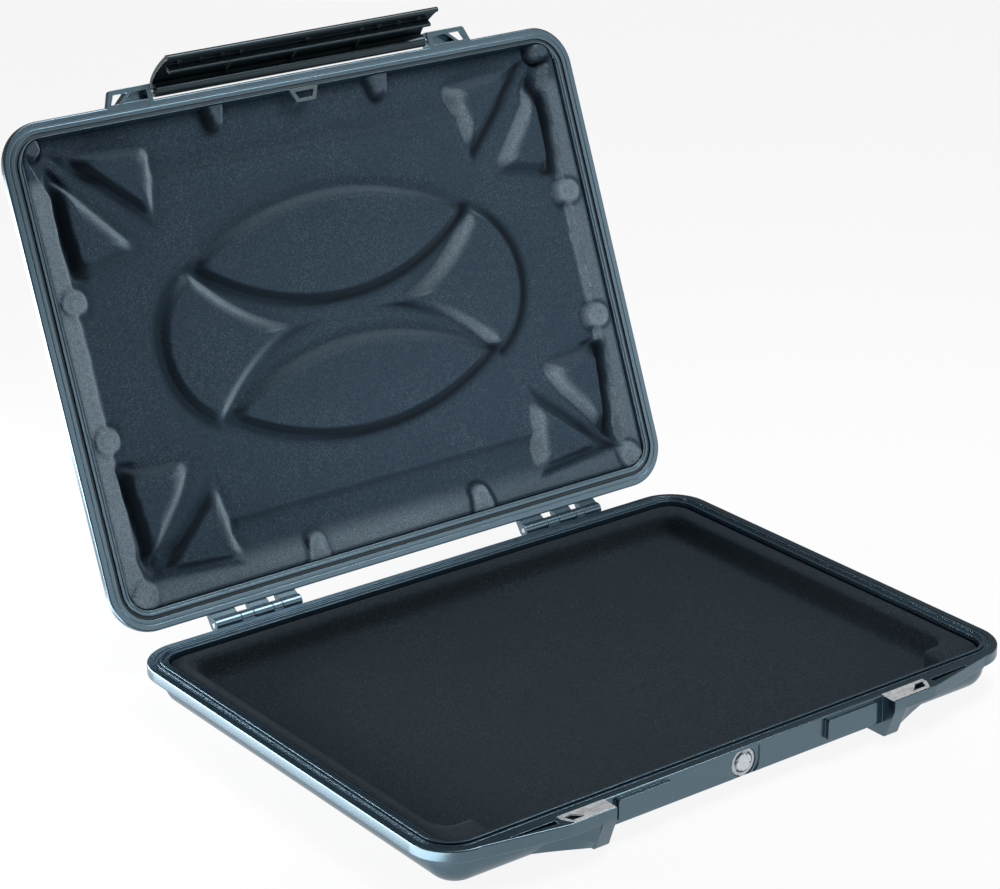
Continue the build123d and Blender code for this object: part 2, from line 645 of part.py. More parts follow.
with BuildPart() as latch_flap:
    # curved skin with a rounded lip
    with BuildSketch(side_plane(-latch_half_width)):
        with BuildLine():
            Spline(*skin_points)
        trace(line_width=latch_skin)
        with Locations(skin_points[-1], skin_points[0]):
            Circle(latch_lip_radius)
    extrude(amount=2 * latch_half_width)
    # hook that catches under the base's pads
    with BuildSketch(side_plane(-latch_half_width + hook_end)):
        Polygon((skin_inner, hook_z), (hook_back - 0.6, hook_z), (hook_back, hook_z - 0.6),
                (hook_back, hook_z - hook_thickness + 0.6), (hook_back - 0.6, hook_z - hook_thickness),
                (skin_inner + 1.4, hook_z - hook_thickness), align=None)
    extrude(amount=2 * (latch_half_width - hook_end))
    # upright ribs above the hook
    for place in latch_rib_places:
        with BuildSketch(side_plane(place - latch_rib_width / 2)):
            Polygon((skin_inner, hook_z), (latch_y - 1.0, hook_z), (latch_y - 2.4, latch_z - 2.0),
                    (skin_inner, latch_z - 2.0), align=None)
        extrude(amount=latch_rib_width)
    # small bosses between the hook and the lip
    with BuildSketch(front_plane(skin_points[-2][0])):
        with Locations(*[(place, hook_z - hook_thickness - latch_boss_rise) for place in latch_boss_places]):
            Circle(latch_boss_radius)
    extrude(amount=-(latch_skin / 2 + 1.4))
    # roll along the upper edge, bored for the pins at both ends
    with BuildSketch(side_plane(-latch_half_width)):
        with Locations((latch_y, latch_z)):
            Circle(roll_radius)
    extrude(amount=2 * latch_half_width)
    for start in (latch_half_width - bore_length, -latch_half_width):
        with BuildSketch(side_plane(start)):
            with Locations((latch_y, latch_z)):
                Circle(latch_pin_radius + pin_clearance)
        extrude(amount=bore_length, mode=Mode.SUBTRACT)
latch_flap.part.label = "latch_flap"
latch_flap.part.move(latch_pose)
export_step(latch_flap.part, "parts/latch_flap.step")

# ================================================================ pressure vent
vent_seal_y = vent_floor_y - vent_seal_thickness
vent_face_y = vent_seal_y - vent_flange_thickness
vent_nut_y = vent_boss_y + vent_nut_thickness
vent_end_y = vent_nut_y + vent_thread_end

with BuildPart() as vent_seal:
    with BuildSketch(front_plane(vent_floor_y)):
        vent_disc(vent_flange_radius, vent_flat)
        with Locations((vent_x, vent_z)):
            Circle(vent_stem_radius + vent_fit, mode=Mode.SUBTRACT)
    extrude(amount=vent_seal_thickness)
vent_seal.part.label = "vent_seal"
export_step(vent_seal.part, "parts/vent_seal.step")

with BuildPart() as vent_body:
    with BuildSketch(front_plane(vent_seal_y)):
        vent_disc(vent_flange_radius, vent_flat)
    extrude(amount=vent_flange_thickness)
    with BuildSketch(front_plane(vent_end_y)):
        with Locations((vent_x, vent_z)):
            Circle(vent_stem_radius)
    extrude(amount=vent_end_y - vent_seal_y)
    with BuildSketch(front_plane(vent_end_y)):
        with Locations((vent_x, vent_z)):
            Circle(vent_stem_bore)
    extrude(amount=vent_end_y - vent_face_y, mode=Mode.SUBTRACT)
    with BuildSketch(front_plane(vent_face_y + membrane_thickness)):
        with Locations((vent_x, vent_z)):
            Circle(membrane_radius + vent_fit)
    extrude(amount=membrane_thickness, mode=Mode.SUBTRACT)
vent_body.part.label = "vent_body"
export_step(vent_body.part, "parts/vent_body.step")

with BuildPart() as vent_membrane:
    with BuildSketch(front_plane(vent_face_y + membrane_thickness)):
        with Locations((vent_x, vent_z)):
            Circle(membrane_radius)
    extrude(amount=membrane_thickness)
vent_membrane.part.label = "vent_membrane"
export_step(vent_membrane.part, "parts/vent_membrane.step")

with BuildPart() as vent_cap:
    with BuildSketch(front_plane(vent_face_y)):
        with Locations((vent_x, vent_z)):
            Circle(vent_cap_radius)
            for angle in vent_notch_angles:
                with PolarLocations(vent_cap_radius, 1, start_angle=angle):
                    Circle(vent_notch_radius, mode=Mode.SUBTRACT)
    extrude(amount=vent_cap_rise)
vent_cap.part.label = "vent_cap"
export_step(vent_cap.part, "parts/vent_cap.step")

with BuildPart() as vent_nut:
    with BuildSketch(front_plane(vent_nut_y)):
        with Locations((vent_x, vent_z)):
            RegularPolygon(vent_nut_radius, 6)
            Circle(vent_stem_radius + vent_fit, mode=Mode.SUBTRACT)
    extrude(amount=vent_nut_thickness)
vent_nut.part.label = "vent_nut"
export_step(vent_nut.part, "parts/vent_nut.step")

# ================================================================ foam liners
foam_side = cavity_side - foam_clearance
foam_front = cavity_front + foam_clearance
foam_back = cavity_back - foam_clearance
foam_corner = cavity_corner - foam_clearance
pocket_side = foam_side - base_wall_foam
pocket_back = foam_back - base_wall_foam
block_back = foam_front + front_block_depth
trough_side = foam_side - front_block_width

with BuildPart() as base_liner:
    with BuildSketch(Plane.XY.offset(wall + foam_clearance)):
        outline(foam_side, foam_front, foam_back, foam_corner)
    extrude(amount=parting - base_foam_drop - wall - foam_clearance)
    fillet(base_liner.edges().group_by(Axis.Z)[0], radius=base_round - wall - foam_clearance)
    # the pocket, open to the front wall between the two corner blocks
    with BuildSketch(Plane.XY.offset(wall + foam_clearance + base_floor_foam)):
        outline(pocket_side, block_back, pocket_back, pocket_corner)
        outline(trough_side, foam_front - pocket_corner, pocket_back, pocket_corner)
    extrude(amount=parting, mode=Mode.SUBTRACT)
    # room for the vent's boss
    with BuildSketch(Plane.XY.offset(wall)):
        with Locations((vent_x, foam_front)):
            Rectangle(2 * (vent_boss_half_width + foam_clearance), 2 * (vent_boss_reach + vent_fit))
    extrude(amount=parting, mode=Mode.SUBTRACT)
base_liner.part.label = "base_liner"
export_step(base_liner.part, "parts/base_liner.step")

lid_foam_bottom = parting + lid_border_rise
lid_foam_top = lid_top - wall - foam_clearance
lid_foam_inset = foam_clearance + (lid_foam_bottom - lid_bottom) * draft_slope
lid_floor = parting + lid_floor_rise
lid_pocket_front = foam_front + lid_front_border
lid_pocket_back = foam_back - lid_back_border
lid_pocket_side = foam_side - lid_side_border

corner_peg_x = lid_pocket_side - side_peg_inset
peg_places = [(corner_peg_x, lid_pocket_front + corner_peg_front), (corner_peg_x, lid_pocket_back - corner_peg_back),
              (front_peg[0], lid_pocket_front + front_peg[1]), (back_peg[0], lid_pocket_back - back_peg[1])]
peg_places += [(corner_peg_x, place) for place in side_peg_places]
triangle_pads = [[(lid_pocket_side - x, lid_pocket_front + y) for x, y in corners] for corners in front_triangles]
triangle_pads += [[(lid_pocket_side - x, lid_pocket_back - y) for x, y in corners] for corners in back_triangles]

# Raised pads and pegs of the cover's foam, with softened edges.
with BuildPart() as pad_block:
    with BuildSketch(Plane.XY.offset(parting + pad_rise)):
        for tip_x, tip_y, front_y, back_y in lens_pads:
            with BuildLine():
                ThreePointArc((-tip_x, tip_y), (0, front_y), (tip_x, tip_y))
                ThreePointArc((tip_x, tip_y), (0, back_y), (-tip_x, tip_y))
            make_face()
        with BuildLine():
            Polyline(fan_pad[0], fan_pad[1], fan_pad[2])
            ThreePointArc(fan_pad[2], fan_pad[3], fan_pad[0])
        make_face()
        for corners in triangle_pads:
            Polygon(*corners, align=None)
        with Locations(*peg_places):
            Circle(peg_radius)
        mirror(about=Plane.YZ)
    extrude(amount=lid_floor_rise - pad_rise + pad_round)
    fillet(pad_block.edges().group_by(Axis.Z)[0], radius=pad_round)

with BuildPart() as lid_liner:
    with BuildSketch(Plane.XY.offset(lid_foam_bottom)):
        outline(cavity_side - lid_foam_inset, cavity_front + lid_foam_inset, cavity_back - lid_foam_inset,
                cavity_corner - lid_foam_inset)
    extrude(amount=lid_foam_top - lid_foam_bottom, taper=lid_draft)
    fillet(lid_liner.edges().group_by(Axis.Z)[-1], radius=lid_round - wall - foam_clearance)
    with BuildSketch(Plane.XY.offset(lid_foam_bottom)):
        outline(lid_pocket_side, lid_pocket_front, lid_pocket_back, pocket_corner)
    extrude(amount=lid_floor - lid_foam_bottom, taper=lid_pocket_slope, mode=Mode.SUBTRACT)
    # raised middle of the floor, from side to side
    plateau_near = lid_pocket_front + plateau_front
    plateau_far = lid_pocket_back - plateau_back
    plateau_run = (lid_floor_rise - plateau_rise) * math.tan(math.radians(plateau_slope))
    with BuildSketch(side_plane(-lid_pocket_side)):
        Polygon((plateau_near, parting + plateau_rise), (plateau_far, parting + plateau_rise),
                (plateau_far + plateau_run, lid_floor), (plateau_far, lid_floor + pad_round),
                (plateau_near, lid_floor + pad_round), (plateau_near - plateau_run, lid_floor), align=None)
    extrude(amount=2 * lid_pocket_side)
    add(pad_block.part)
lid_liner.part.label = "lid_liner"
lid_liner.part.move(lid_pose)
export_step(lid_liner.part, "parts/lid_liner.step")
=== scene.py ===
"""Looks of a flat hard laptop case that stands open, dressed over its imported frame.

Lengths are in metres, apart from names that end in _mm. The lid's foam is set out in mm as it lies when the
lid is closed, and is then turned to the open rest pose about the lid's hinge.
"""

import json
import logging
import math
from dataclasses import dataclass, field
from enum import Enum

import bmesh
import bpy
import numpy as np
from mathutils import Matrix, Vector

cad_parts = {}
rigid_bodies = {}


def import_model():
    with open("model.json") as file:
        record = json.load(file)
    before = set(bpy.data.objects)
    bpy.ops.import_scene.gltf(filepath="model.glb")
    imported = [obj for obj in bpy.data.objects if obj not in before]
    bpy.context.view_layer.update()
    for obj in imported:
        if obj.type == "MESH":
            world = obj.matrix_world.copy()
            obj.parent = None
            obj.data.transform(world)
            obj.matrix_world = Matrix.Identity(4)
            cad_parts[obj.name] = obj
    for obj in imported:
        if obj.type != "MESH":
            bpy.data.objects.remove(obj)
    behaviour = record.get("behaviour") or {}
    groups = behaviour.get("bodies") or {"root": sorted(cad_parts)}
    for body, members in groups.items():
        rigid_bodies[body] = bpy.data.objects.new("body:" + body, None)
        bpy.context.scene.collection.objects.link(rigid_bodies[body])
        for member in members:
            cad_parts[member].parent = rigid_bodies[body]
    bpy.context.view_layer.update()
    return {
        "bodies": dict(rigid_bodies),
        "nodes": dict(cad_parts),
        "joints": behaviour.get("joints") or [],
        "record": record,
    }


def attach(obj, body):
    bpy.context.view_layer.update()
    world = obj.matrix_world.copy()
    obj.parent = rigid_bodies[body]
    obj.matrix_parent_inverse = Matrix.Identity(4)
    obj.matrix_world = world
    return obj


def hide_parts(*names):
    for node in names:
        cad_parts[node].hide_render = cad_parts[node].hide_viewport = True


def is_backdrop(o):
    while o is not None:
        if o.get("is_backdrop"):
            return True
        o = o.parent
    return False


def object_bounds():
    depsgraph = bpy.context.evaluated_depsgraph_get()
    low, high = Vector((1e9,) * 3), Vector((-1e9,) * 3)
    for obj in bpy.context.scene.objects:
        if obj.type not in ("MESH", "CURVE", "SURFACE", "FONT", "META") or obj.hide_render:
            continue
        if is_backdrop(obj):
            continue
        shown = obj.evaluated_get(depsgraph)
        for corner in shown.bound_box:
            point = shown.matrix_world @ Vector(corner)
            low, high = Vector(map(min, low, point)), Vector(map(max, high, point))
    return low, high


LOG = logging.getLogger("laptop_case")
MM = 0.001
PROBE_MM = 0.5  # step over which a pad's outline is followed
TINY = 1e-6  # keeps a divisor off zero
Colour = tuple[float, float, float]
Place = tuple[float, float, float]
Point = tuple[float, float]
Span = tuple[float, float]  # start and end of a range
Remap = tuple[float, float, float, float]  # a range, and the range that it becomes
Ramp = tuple[float, float]  # where a smooth rise starts, and its length, which is negative if it falls
Hump = tuple[float, float]  # middle and width of a smooth bell
Circle = tuple[float, float, float]  # middle and radius
Wave = tuple[float, float, float]  # swing in mm, and radians per mm along and across the sheet
Socket = bpy.types.NodeSocket
Sockets = dict[str, bpy.types.NodeSocket]


# ------------------------------------------------------------------ small tools
def ease(value: np.ndarray) -> np.ndarray:
    """Smooth step of values between 0 and 1."""
    held = np.clip(value, 0.0, 1.0)
    return held * held * (3.0 - 2.0 * held)


def ramp(value: np.ndarray, start: float, length: float) -> np.ndarray:
    """Smooth step from 0 at the start to 1 a length further on."""
    return ease((value - start) / length)


def hump(value: np.ndarray, middle: float | np.ndarray, width: float | np.ndarray) -> np.ndarray:
    """Smooth bell, 1 at its middle."""
    return np.exp(-(((value - middle) / width) ** 2))


def soft_min(first: np.ndarray, second: np.ndarray, reach: float) -> np.ndarray:
    """Smaller of two fields, rounded where they meet.

    Args:
        first: One field of distances.
        second: The other field.
        reach: How far the rounding spreads.

    Returns:
        The blended field.
    """
    share = np.clip(0.5 + 0.5 * (second - first) / reach, 0.0, 1.0)
    return second * (1.0 - share) + first * share - reach * share * (1.0 - share)


def opaque(colour: Colour, factor: float = 1.0) -> tuple[float, float, float, float]:
    """A colour, scaled, as a socket takes it."""
    return (*(part * factor for part in colour), 1.0)


def mesh_object(name: str, points: np.ndarray, faces: list[tuple[int, ...]]) -> bpy.types.Object:
    """A new smooth-shaded mesh object, linked to the scene.

    Args:
        name: The piece's name.
        points: Corner positions in metres, in the part's frame.
        faces: Corner numbers of each face.

    Returns:
        The object.
    """
    mesh = bpy.data.meshes.new(name)
    mesh.from_pydata([tuple(point) for point in points], [], faces)
    mesh.validate()
    made = bmesh.new()
    made.from_mesh(mesh)
    bmesh.ops.recalc_face_normals(made, faces=made.faces)
    made.to_mesh(mesh)
    made.free()
    mesh.shade_smooth()
    piece = bpy.data.objects.new(name, mesh)
    bpy.context.scene.collection.objects.link(piece)
    return piece


def apply_modifiers(piece: bpy.types.Object) -> None:
    """Makes a piece's modifiers part of its mesh.

    Args:
        piece: The piece, which gets a new mesh.
    """
    graph = bpy.context.evaluated_depsgraph_get()
    mesh = bpy.data.meshes.new_from_object(piece.evaluated_get(graph))
    mesh.name = piece.name
    piece.modifiers.clear()
    piece.data = mesh


@dataclass(frozen=True)
class HingeTurn:
    """Turn about an axis along X that takes a closed piece to its rest pose.

    Attributes:
        y: The axis's place from front to back.
        z: The axis's height.
        degrees: The turn from closed to rest.
    """

    y: float
    z: float
    degrees: float

    def turned(self, points: np.ndarray) -> np.ndarray:
        """Turns points of the closed piece.

        Args:
            points: One point in each row.

        Returns:
            The points at the rest pose.
        """
        angle = math.radians(self.degrees)
        cos, sin = math.cos(angle), math.sin(angle)
        y, z = points[:, 1] - self.y, points[:, 2] - self.z
        return np.column_stack((points[:, 0], self.y + y * cos - z * sin, self.z + y * sin + z * cos))


# ------------------------------------------------------------------ node trees
class NodeTree:
    """Adds nodes to one shader tree and links them."""

    mix_first, mix_second, mix_result = 6, 7, 2  # a Mix node's colour sockets

    def __init__(self, tree: bpy.types.NodeTree) -> None:
        """Wraps a tree and empties it."""
        self.tree = tree
        self.tree.nodes.clear()

    def add(self, kind: str, **settings: object) -> bpy.types.Node:
        """Adds a node.

        Args:
            kind: The node's type.
            **settings: The node's own settings.

        Returns:
            The node.
        """
        node = self.tree.nodes.new(kind)
        for name, value in settings.items():
            setattr(node, name, value)
        return node

    def link(self, source: Socket, target: Socket) -> None:
        """Joins two sockets."""
        self.tree.links.new(source, target)

    def value(self, target: Socket, given: object) -> None:
        """Feeds a socket.

        Args:
            target: The socket.
            given: A socket to link to it, or a plain value to set it to.
        """
        if isinstance(given, Socket):
            self.link(given, target)
        else:
            target.default_value = given

    def maths(self, operation: str, first: object, second: object = 0.0, clamp: bool = False) -> Socket:
        """Adds a Math node.

        Args:
            operation: What it does.
            first: Its first value or socket.
            second: Its second value or socket.
            clamp: Whether its result is held between 0 and 1.

        Returns:
            The result.
        """
        node = self.add("ShaderNodeMath", operation=operation, use_clamp=clamp)
        self.value(node.inputs[0], first)
        self.value(node.inputs[1], second)
        return node.outputs[0]

    def spread(
        self, given: object, low: float, high: float, to_low: float = 0.0, to_high: float = 1.0
    ) -> Socket:
        """Maps a value smoothly from one range to another.

        Args:
            given: The value or its socket.
            low: Start of the first range.
            high: End of the first range.
            to_low: Start of the second range.
            to_high: End of the second range.

        Returns:
            The mapped value.
        """
        node = self.add("ShaderNodeMapRange", interpolation_type="SMOOTHSTEP")
        for socket, item in zip(node.inputs, (given, low, high, to_low, to_high)):
            self.value(socket, item)
        return node.outputs[0]

    def mixed(self, factor: object, first: object, second: object) -> Socket:
        """Mixes two colours.

        Args:
            factor: Share of the second colour.
            first: The first colour or its socket.
            second: The second colour or its socket.

        Returns:
            The mixed colour.
        """
        node = self.add("ShaderNodeMix", data_type="RGBA")
        self.value(node.inputs["Factor"], factor)
        self.value(node.inputs[self.mix_first], first)
        self.value(node.inputs[self.mix_second], second)
        return node.outputs[self.mix_result]

    def noise(self, place: Socket, scale: object, detail: float = 2.0) -> Socket:
        """Adds a noise pattern.

        Args:
            place: Where the pattern is read.
            scale: Its scale, as a value or a socket.
            detail: How many finer layers it has.

        Returns:
            The pattern's value.
        """
        node = self.add("ShaderNodeTexNoise")
        self.link(place, node.inputs["Vector"])
        self.value(node.inputs["Scale"], scale)
        node.inputs["Detail"].default_value = detail
        return node.outputs[0]

    def place(self) -> Socket:
        """The piece's own coordinates."""
        return self.add("ShaderNodeTexCoord").outputs["Object"]


class ShadeGroup:
    """Base of the shader groups: a named tree with sockets, made once."""

    name = ""
    inputs: tuple[tuple[str, str, float], ...] = ()
    outputs: tuple[tuple[str, str], ...] = ()

    def tree(self) -> bpy.types.NodeTree:
        """Makes the group's tree at its first use.

        Returns:
            The tree.
        """
        found = bpy.data.node_groups.get(self.name)
        if found:
            return found
        group = bpy.data.node_groups.new(self.name, "ShaderNodeTree")
        for name, kind, start in self.inputs:
            group.interface.new_socket(name, in_out="INPUT", socket_type=kind).default_value = start
        for name, kind in self.outputs:
            group.interface.new_socket(name, in_out="OUTPUT", socket_type=kind)
        tree = NodeTree(group)
        entry = tree.add("NodeGroupInput")
        leave = tree.add("NodeGroupOutput")
        for name, socket in self.fill(tree, entry).items():
            tree.link(socket, leave.inputs[name])
        return group

    def fill(self, tree: NodeTree, entry: bpy.types.Node) -> Sockets:
        """Makes the group's nodes.

        Args:
            tree: The group's tree.
            entry: Its input node.

        Returns:
            The socket for each named output.
        """
        raise NotImplementedError

    def place_in(self, tree: NodeTree, **values: object) -> bpy.types.Node:
        """Puts the group in a material.

        Args:
            tree: The material's tree.
            **values: Values or sockets for the group's inputs, with _ for a space.

        Returns:
            The group's node.
        """
        node = tree.add("ShaderNodeGroup", node_tree=self.tree())
        for name, given in values.items():
            tree.value(node.inputs[name.replace("_", " ")], given)
        return node


FLOAT, VECTOR = "NodeSocketFloat", "NodeSocketVector"


class MouldedSkin(ShadeGroup):
    """Spark-textured skin of a moulded part: fine grain, slow waves and faint handling smudges."""

    name = "moulded_skin"
    inputs = (("Grain scale", FLOAT, 2600.0), ("Wave scale", FLOAT, 24.0))
    outputs = (("Height", FLOAT), ("Patches", FLOAT), ("Marks", FLOAT))
    smudges_to_waves = 3.7
    smudged: Span = (0.5, 0.8)
    handled: Span = (0.4, 0.7)
    patched: Span = (0.3, 0.7)

    def fill(self, tree: NodeTree, entry: bpy.types.Node) -> Sockets:
        """Makes grain for the bump, patches for the colour and marks for the gloss.

        Args:
            tree: The group's tree.
            entry: Its input node.

        Returns:
            The socket for each named output.
        """
        place = tree.place()
        grain = tree.noise(place, entry.outputs["Grain scale"], 3.0)
        waves = tree.noise(place, entry.outputs["Wave scale"], 3.0)
        smudge_scale = tree.maths("MULTIPLY", entry.outputs["Wave scale"], self.smudges_to_waves)
        smudges = tree.spread(tree.noise(place, smudge_scale, 5.0), *self.smudged)
        marks = tree.maths("MULTIPLY", smudges, tree.spread(waves, *self.handled))
        return {"Height": grain, "Patches": tree.spread(waves, *self.patched), "Marks": marks}


class EdgeWearHighlight(ShadeGroup):
    """Softened edges, and a mask along them for handling wear and for painted highlights."""

    name = "edge_wear_highlight_mask"
    inputs = (("Radius", FLOAT, 0.0005), ("Breakup scale", FLOAT, 160.0))
    outputs = (("Mask", FLOAT), ("Normal", VECTOR))
    samples = 10
    turned: Span = (0.998, 0.93)  # cosine between both normals where the mask starts and is full
    broken: Remap = (0.35, 0.65, 0.8, 1.0)

    def fill(self, tree: NodeTree, entry: bpy.types.Node) -> Sockets:
        """Compares a rounded normal with the plain one.

        Args:
            tree: The group's tree.
            entry: Its input node.

        Returns:
            The socket for each named output.
        """
        rounded = tree.add("ShaderNodeBevel", samples=self.samples)
        tree.link(entry.outputs["Radius"], rounded.inputs["Radius"])
        plain = tree.add("ShaderNodeNewGeometry")
        dot = tree.add("ShaderNodeVectorMath", operation="DOT_PRODUCT")
        tree.link(rounded.outputs[0], dot.inputs[0])
        tree.link(plain.outputs["Normal"], dot.inputs[1])
        edge = tree.spread(dot.outputs["Value"], *self.turned)
        breakup = tree.spread(tree.noise(tree.place(), entry.outputs["Breakup scale"]), *self.broken)
        return {"Mask": tree.maths("MULTIPLY", edge, breakup), "Normal": rounded.outputs[0]}


class FoamGrain(ShadeGroup):
    """Closed-cell foam skin: small cells, pale specks and slow cloudy patches."""

    name = "foam_grain"
    inputs = (("Cell scale", FLOAT, 1700.0),)
    outputs = (("Height", FLOAT), ("Cells", FLOAT), ("Specks", FLOAT), ("Clouds", FLOAT))
    fine_to_cells = 1.7
    cloud_scale = 26.0
    clouded: Span = (0.3, 0.7)
    flecked: Span = (0.55, 1.0)

    def fill(self, tree: NodeTree, entry: bpy.types.Node) -> Sockets:
        """Makes cells for the relief, and specks of the brightest of them.

        Args:
            tree: The group's tree.
            entry: Its input node.

        Returns:
            The socket for each named output.
        """
        place = tree.place()
        cells = tree.add("ShaderNodeTexVoronoi", feature="F1")
        tree.link(place, cells.inputs["Vector"])
        tree.link(entry.outputs["Cell scale"], cells.inputs["Scale"])
        tone = tree.add("ShaderNodeSeparateColor")
        tree.link(cells.outputs["Color"], tone.inputs[0])
        fine_scale = tree.maths("MULTIPLY", entry.outputs["Cell scale"], self.fine_to_cells)
        fine = tree.noise(place, fine_scale)
        return {
            "Height": tree.maths("SUBTRACT", fine, cells.outputs["Distance"]),
            "Cells": tree.maths("MULTIPLY", tone.outputs[0], fine),
            "Specks": tree.spread(tone.outputs[1], *self.flecked),
            "Clouds": tree.spread(tree.noise(place, self.cloud_scale, 3.0), *self.clouded),
        }


class BrushLines(ShadeGroup):
    """Fine straight lines that a brush leaves on sheet metal or a turned pin."""

    name = "brush_lines"
    inputs = (("Along", FLOAT, 30.0), ("Across", FLOAT, 4200.0))
    outputs = (("Lines", FLOAT), ("Stains", FLOAT))
    stain_scale = 220.0
    stained: Span = (0.4, 0.7)

    def fill(self, tree: NodeTree, entry: bpy.types.Node) -> Sockets:
        """Stretches a noise along the piece's length.

        Args:
            tree: The group's tree.
            entry: Its input node.

        Returns:
            The socket for each named output.
        """
        place = tree.place()
        scale = tree.add("ShaderNodeCombineXYZ")
        for target, name in zip(scale.inputs, ("Along", "Across", "Across")):
            tree.link(entry.outputs[name], target)
        stretch_and_light = tree.add("ShaderNodeMapping")
        tree.link(place, stretch_and_light.inputs["Vector"])
        tree.link(scale.outputs[0], stretch_and_light.inputs["Scale"])
        return {
            "Lines": tree.noise(stretch_and_light.outputs[0], 1.0, 3.0),
            "Stains": tree.spread(tree.noise(place, self.stain_scale), *self.stained),
        }


class VentGrooveShade(ShadeGroup):
    """Painted shade of a groove round the vent cap on the front wall, broken into arcs."""

    name = "vent_groove_shade"
    inputs = (
        ("Centre X", FLOAT, -0.003),
        ("Centre Z", FLOAT, 0.018),
        ("Radius", FLOAT, 0.0062),
        ("Half width", FLOAT, 0.0006),
        ("Arcs", FLOAT, 3.0),
    )
    outputs = (("Mask", FLOAT),)
    first_arc = 0.6  # turn in radians
    gaps: Remap = (-0.75, -0.35, 0.25, 1.0)
    rim: Remap = (0.7, 1.1, 1.0, 0.0)

    def fill(self, tree: NodeTree, entry: bpy.types.Node) -> Sockets:
        """Measures the distance from the ring and fades it between the arcs.

        Args:
            tree: The group's tree.
            entry: Its input node.

        Returns:
            The socket for each named output.
        """
        apart = tree.add("ShaderNodeSeparateXYZ")
        tree.link(tree.place(), apart.inputs[0])
        across = tree.maths("SUBTRACT", apart.outputs[0], entry.outputs["Centre X"])
        up = tree.maths("SUBTRACT", apart.outputs[2], entry.outputs["Centre Z"])
        square = tree.maths("ADD", *(tree.maths("MULTIPLY", side, side) for side in (across, up)))
        away = tree.maths("SUBTRACT", tree.maths("SQRT", square), entry.outputs["Radius"])
        share = tree.maths("DIVIDE", tree.maths("ABSOLUTE", away), entry.outputs["Half width"])
        turn = tree.maths("MULTIPLY", tree.maths("ARCTAN2", up, across), entry.outputs["Arcs"])
        arcs = tree.spread(tree.maths("SINE", tree.maths("ADD", turn, self.first_arc)), *self.gaps)
        return {"Mask": tree.maths("MULTIPLY", tree.spread(share, *self.rim), arcs)}


# ------------------------------------------------------------------ finishes
class Gloss(Enum):
    """How a moulding tool was polished: grain depth in metres and roughness."""

    POLISHED = (0.000003, 0.14)
    SATIN = (0.000010, 0.25)
    TEXTURED = (0.000030, 0.42)


def surface(name: str) -> tuple[bpy.types.Material, NodeTree, bpy.types.Node]:
    """A new material with one Principled surface.

    Args:
        name: The material's name.

    Returns:
        The material, its tree and the Principled node.
    """
    material = bpy.data.materials.new(name)
    material.use_nodes = True
    tree = NodeTree(material.node_tree)
    shader = tree.add("ShaderNodeBsdfPrincipled")
    tree.link(shader.outputs[0], tree.add("ShaderNodeOutputMaterial").inputs[0])
    return material, tree, shader


def bump(tree: NodeTree, height: Socket, depth: float, base: Socket | None = None) -> Socket:
    """Normal of a bumped surface.

    Args:
        tree: The material's tree.
        height: Socket with the relief, from 0 to 1.
        depth: The relief's depth.
        base: Socket with the normal below it.

    Returns:
        The normal's socket.
    """
    node = tree.add("ShaderNodeBump")
    node.inputs["Distance"].default_value = depth
    tree.link(height, node.inputs["Height"])
    if base is not None:
        tree.link(base, node.inputs["Normal"])
    return node.outputs[0]


@dataclass(frozen=True)
class MouldedPlastic:
    """Moulded plastic: colour patches, tool texture, and paler edges, partly handling wear and partly painted
    highlight.

    Attributes:
        name: The finish's name.
        colour: The plastic's colour.
        gloss: How its tool was polished.
        edge_wear_highlight: Colour of the edges, partly handling wear and partly a painted highlight.
        edge_radius: Radius of the softened edges.
        index: Index of refraction.
        shine: Level of the reflections.
        glint: Tint of the reflections.
        ring: Radius and half width of a ring of painted groove shade, where it has one.
        groove_shade: Colour of that painted shade.
        patchiness: Share by which patches are darker and paler.
        wear_highlight_share: Share of that edge colour that shows.
        uneven: How far the roughness swings with the patches.
        smeared: Roughness that handling marks add.
    """

    name: str
    colour: Colour
    gloss: Gloss = Gloss.SATIN
    edge_wear_highlight: Colour = (0.17, 0.245, 0.30)
    edge_radius: float = 0.00045
    index: float = 1.5
    shine: float = 0.75
    glint: Colour = (0.62, 0.87, 1.0)
    ring: tuple[float, float] | None = None
    groove_shade: Colour = (0.035, 0.05, 0.06)
    patchiness: float = 0.08
    wear_highlight_share: float = 0.6
    uneven: float = 0.012
    smeared: float = 0.035

    def material(self) -> bpy.types.Material:
        """Builds the finish.

        Returns:
            The material.
        """
        depth, roughness = self.gloss.value
        material, tree, shader = surface(self.name)
        skin = MouldedSkin().place_in(tree)
        edges = EdgeWearHighlight().place_in(tree, Radius=self.edge_radius)
        dark, pale = (opaque(self.colour, 1.0 + swing) for swing in (-self.patchiness, self.patchiness))
        body = tree.mixed(skin.outputs["Patches"], dark, pale)
        # Paler edges, partly handling wear and partly a painted highlight along them.
        wear_highlight_share = tree.maths("MULTIPLY", edges.outputs["Mask"], self.wear_highlight_share)
        body = tree.mixed(wear_highlight_share, body, opaque(self.edge_wear_highlight))
        # A ring of painted shade where a groove runs round the vent cap.
        if self.ring:
            mark = VentGrooveShade().place_in(tree, Radius=self.ring[0], Half_width=self.ring[1])
            body = tree.mixed(mark.outputs["Mask"], body, opaque(self.groove_shade))
        tree.link(body, shader.inputs["Base Color"])
        low, high = roughness - self.uneven, roughness + self.uneven
        rough = tree.spread(skin.outputs["Patches"], 0.0, 1.0, low, high)
        smears = tree.maths("MULTIPLY", skin.outputs["Marks"], self.smeared)
        tree.link(tree.maths("ADD", rough, smears, clamp=True), shader.inputs["Roughness"])
        normal = bump(tree, skin.outputs["Height"], depth, edges.outputs["Normal"])
        tree.link(normal, shader.inputs["Normal"])
        shader.inputs["IOR"].default_value = self.index
        shader.inputs["Specular IOR Level"].default_value = self.shine
        shader.inputs["Specular Tint"].default_value = opaque(self.glint)
        return material


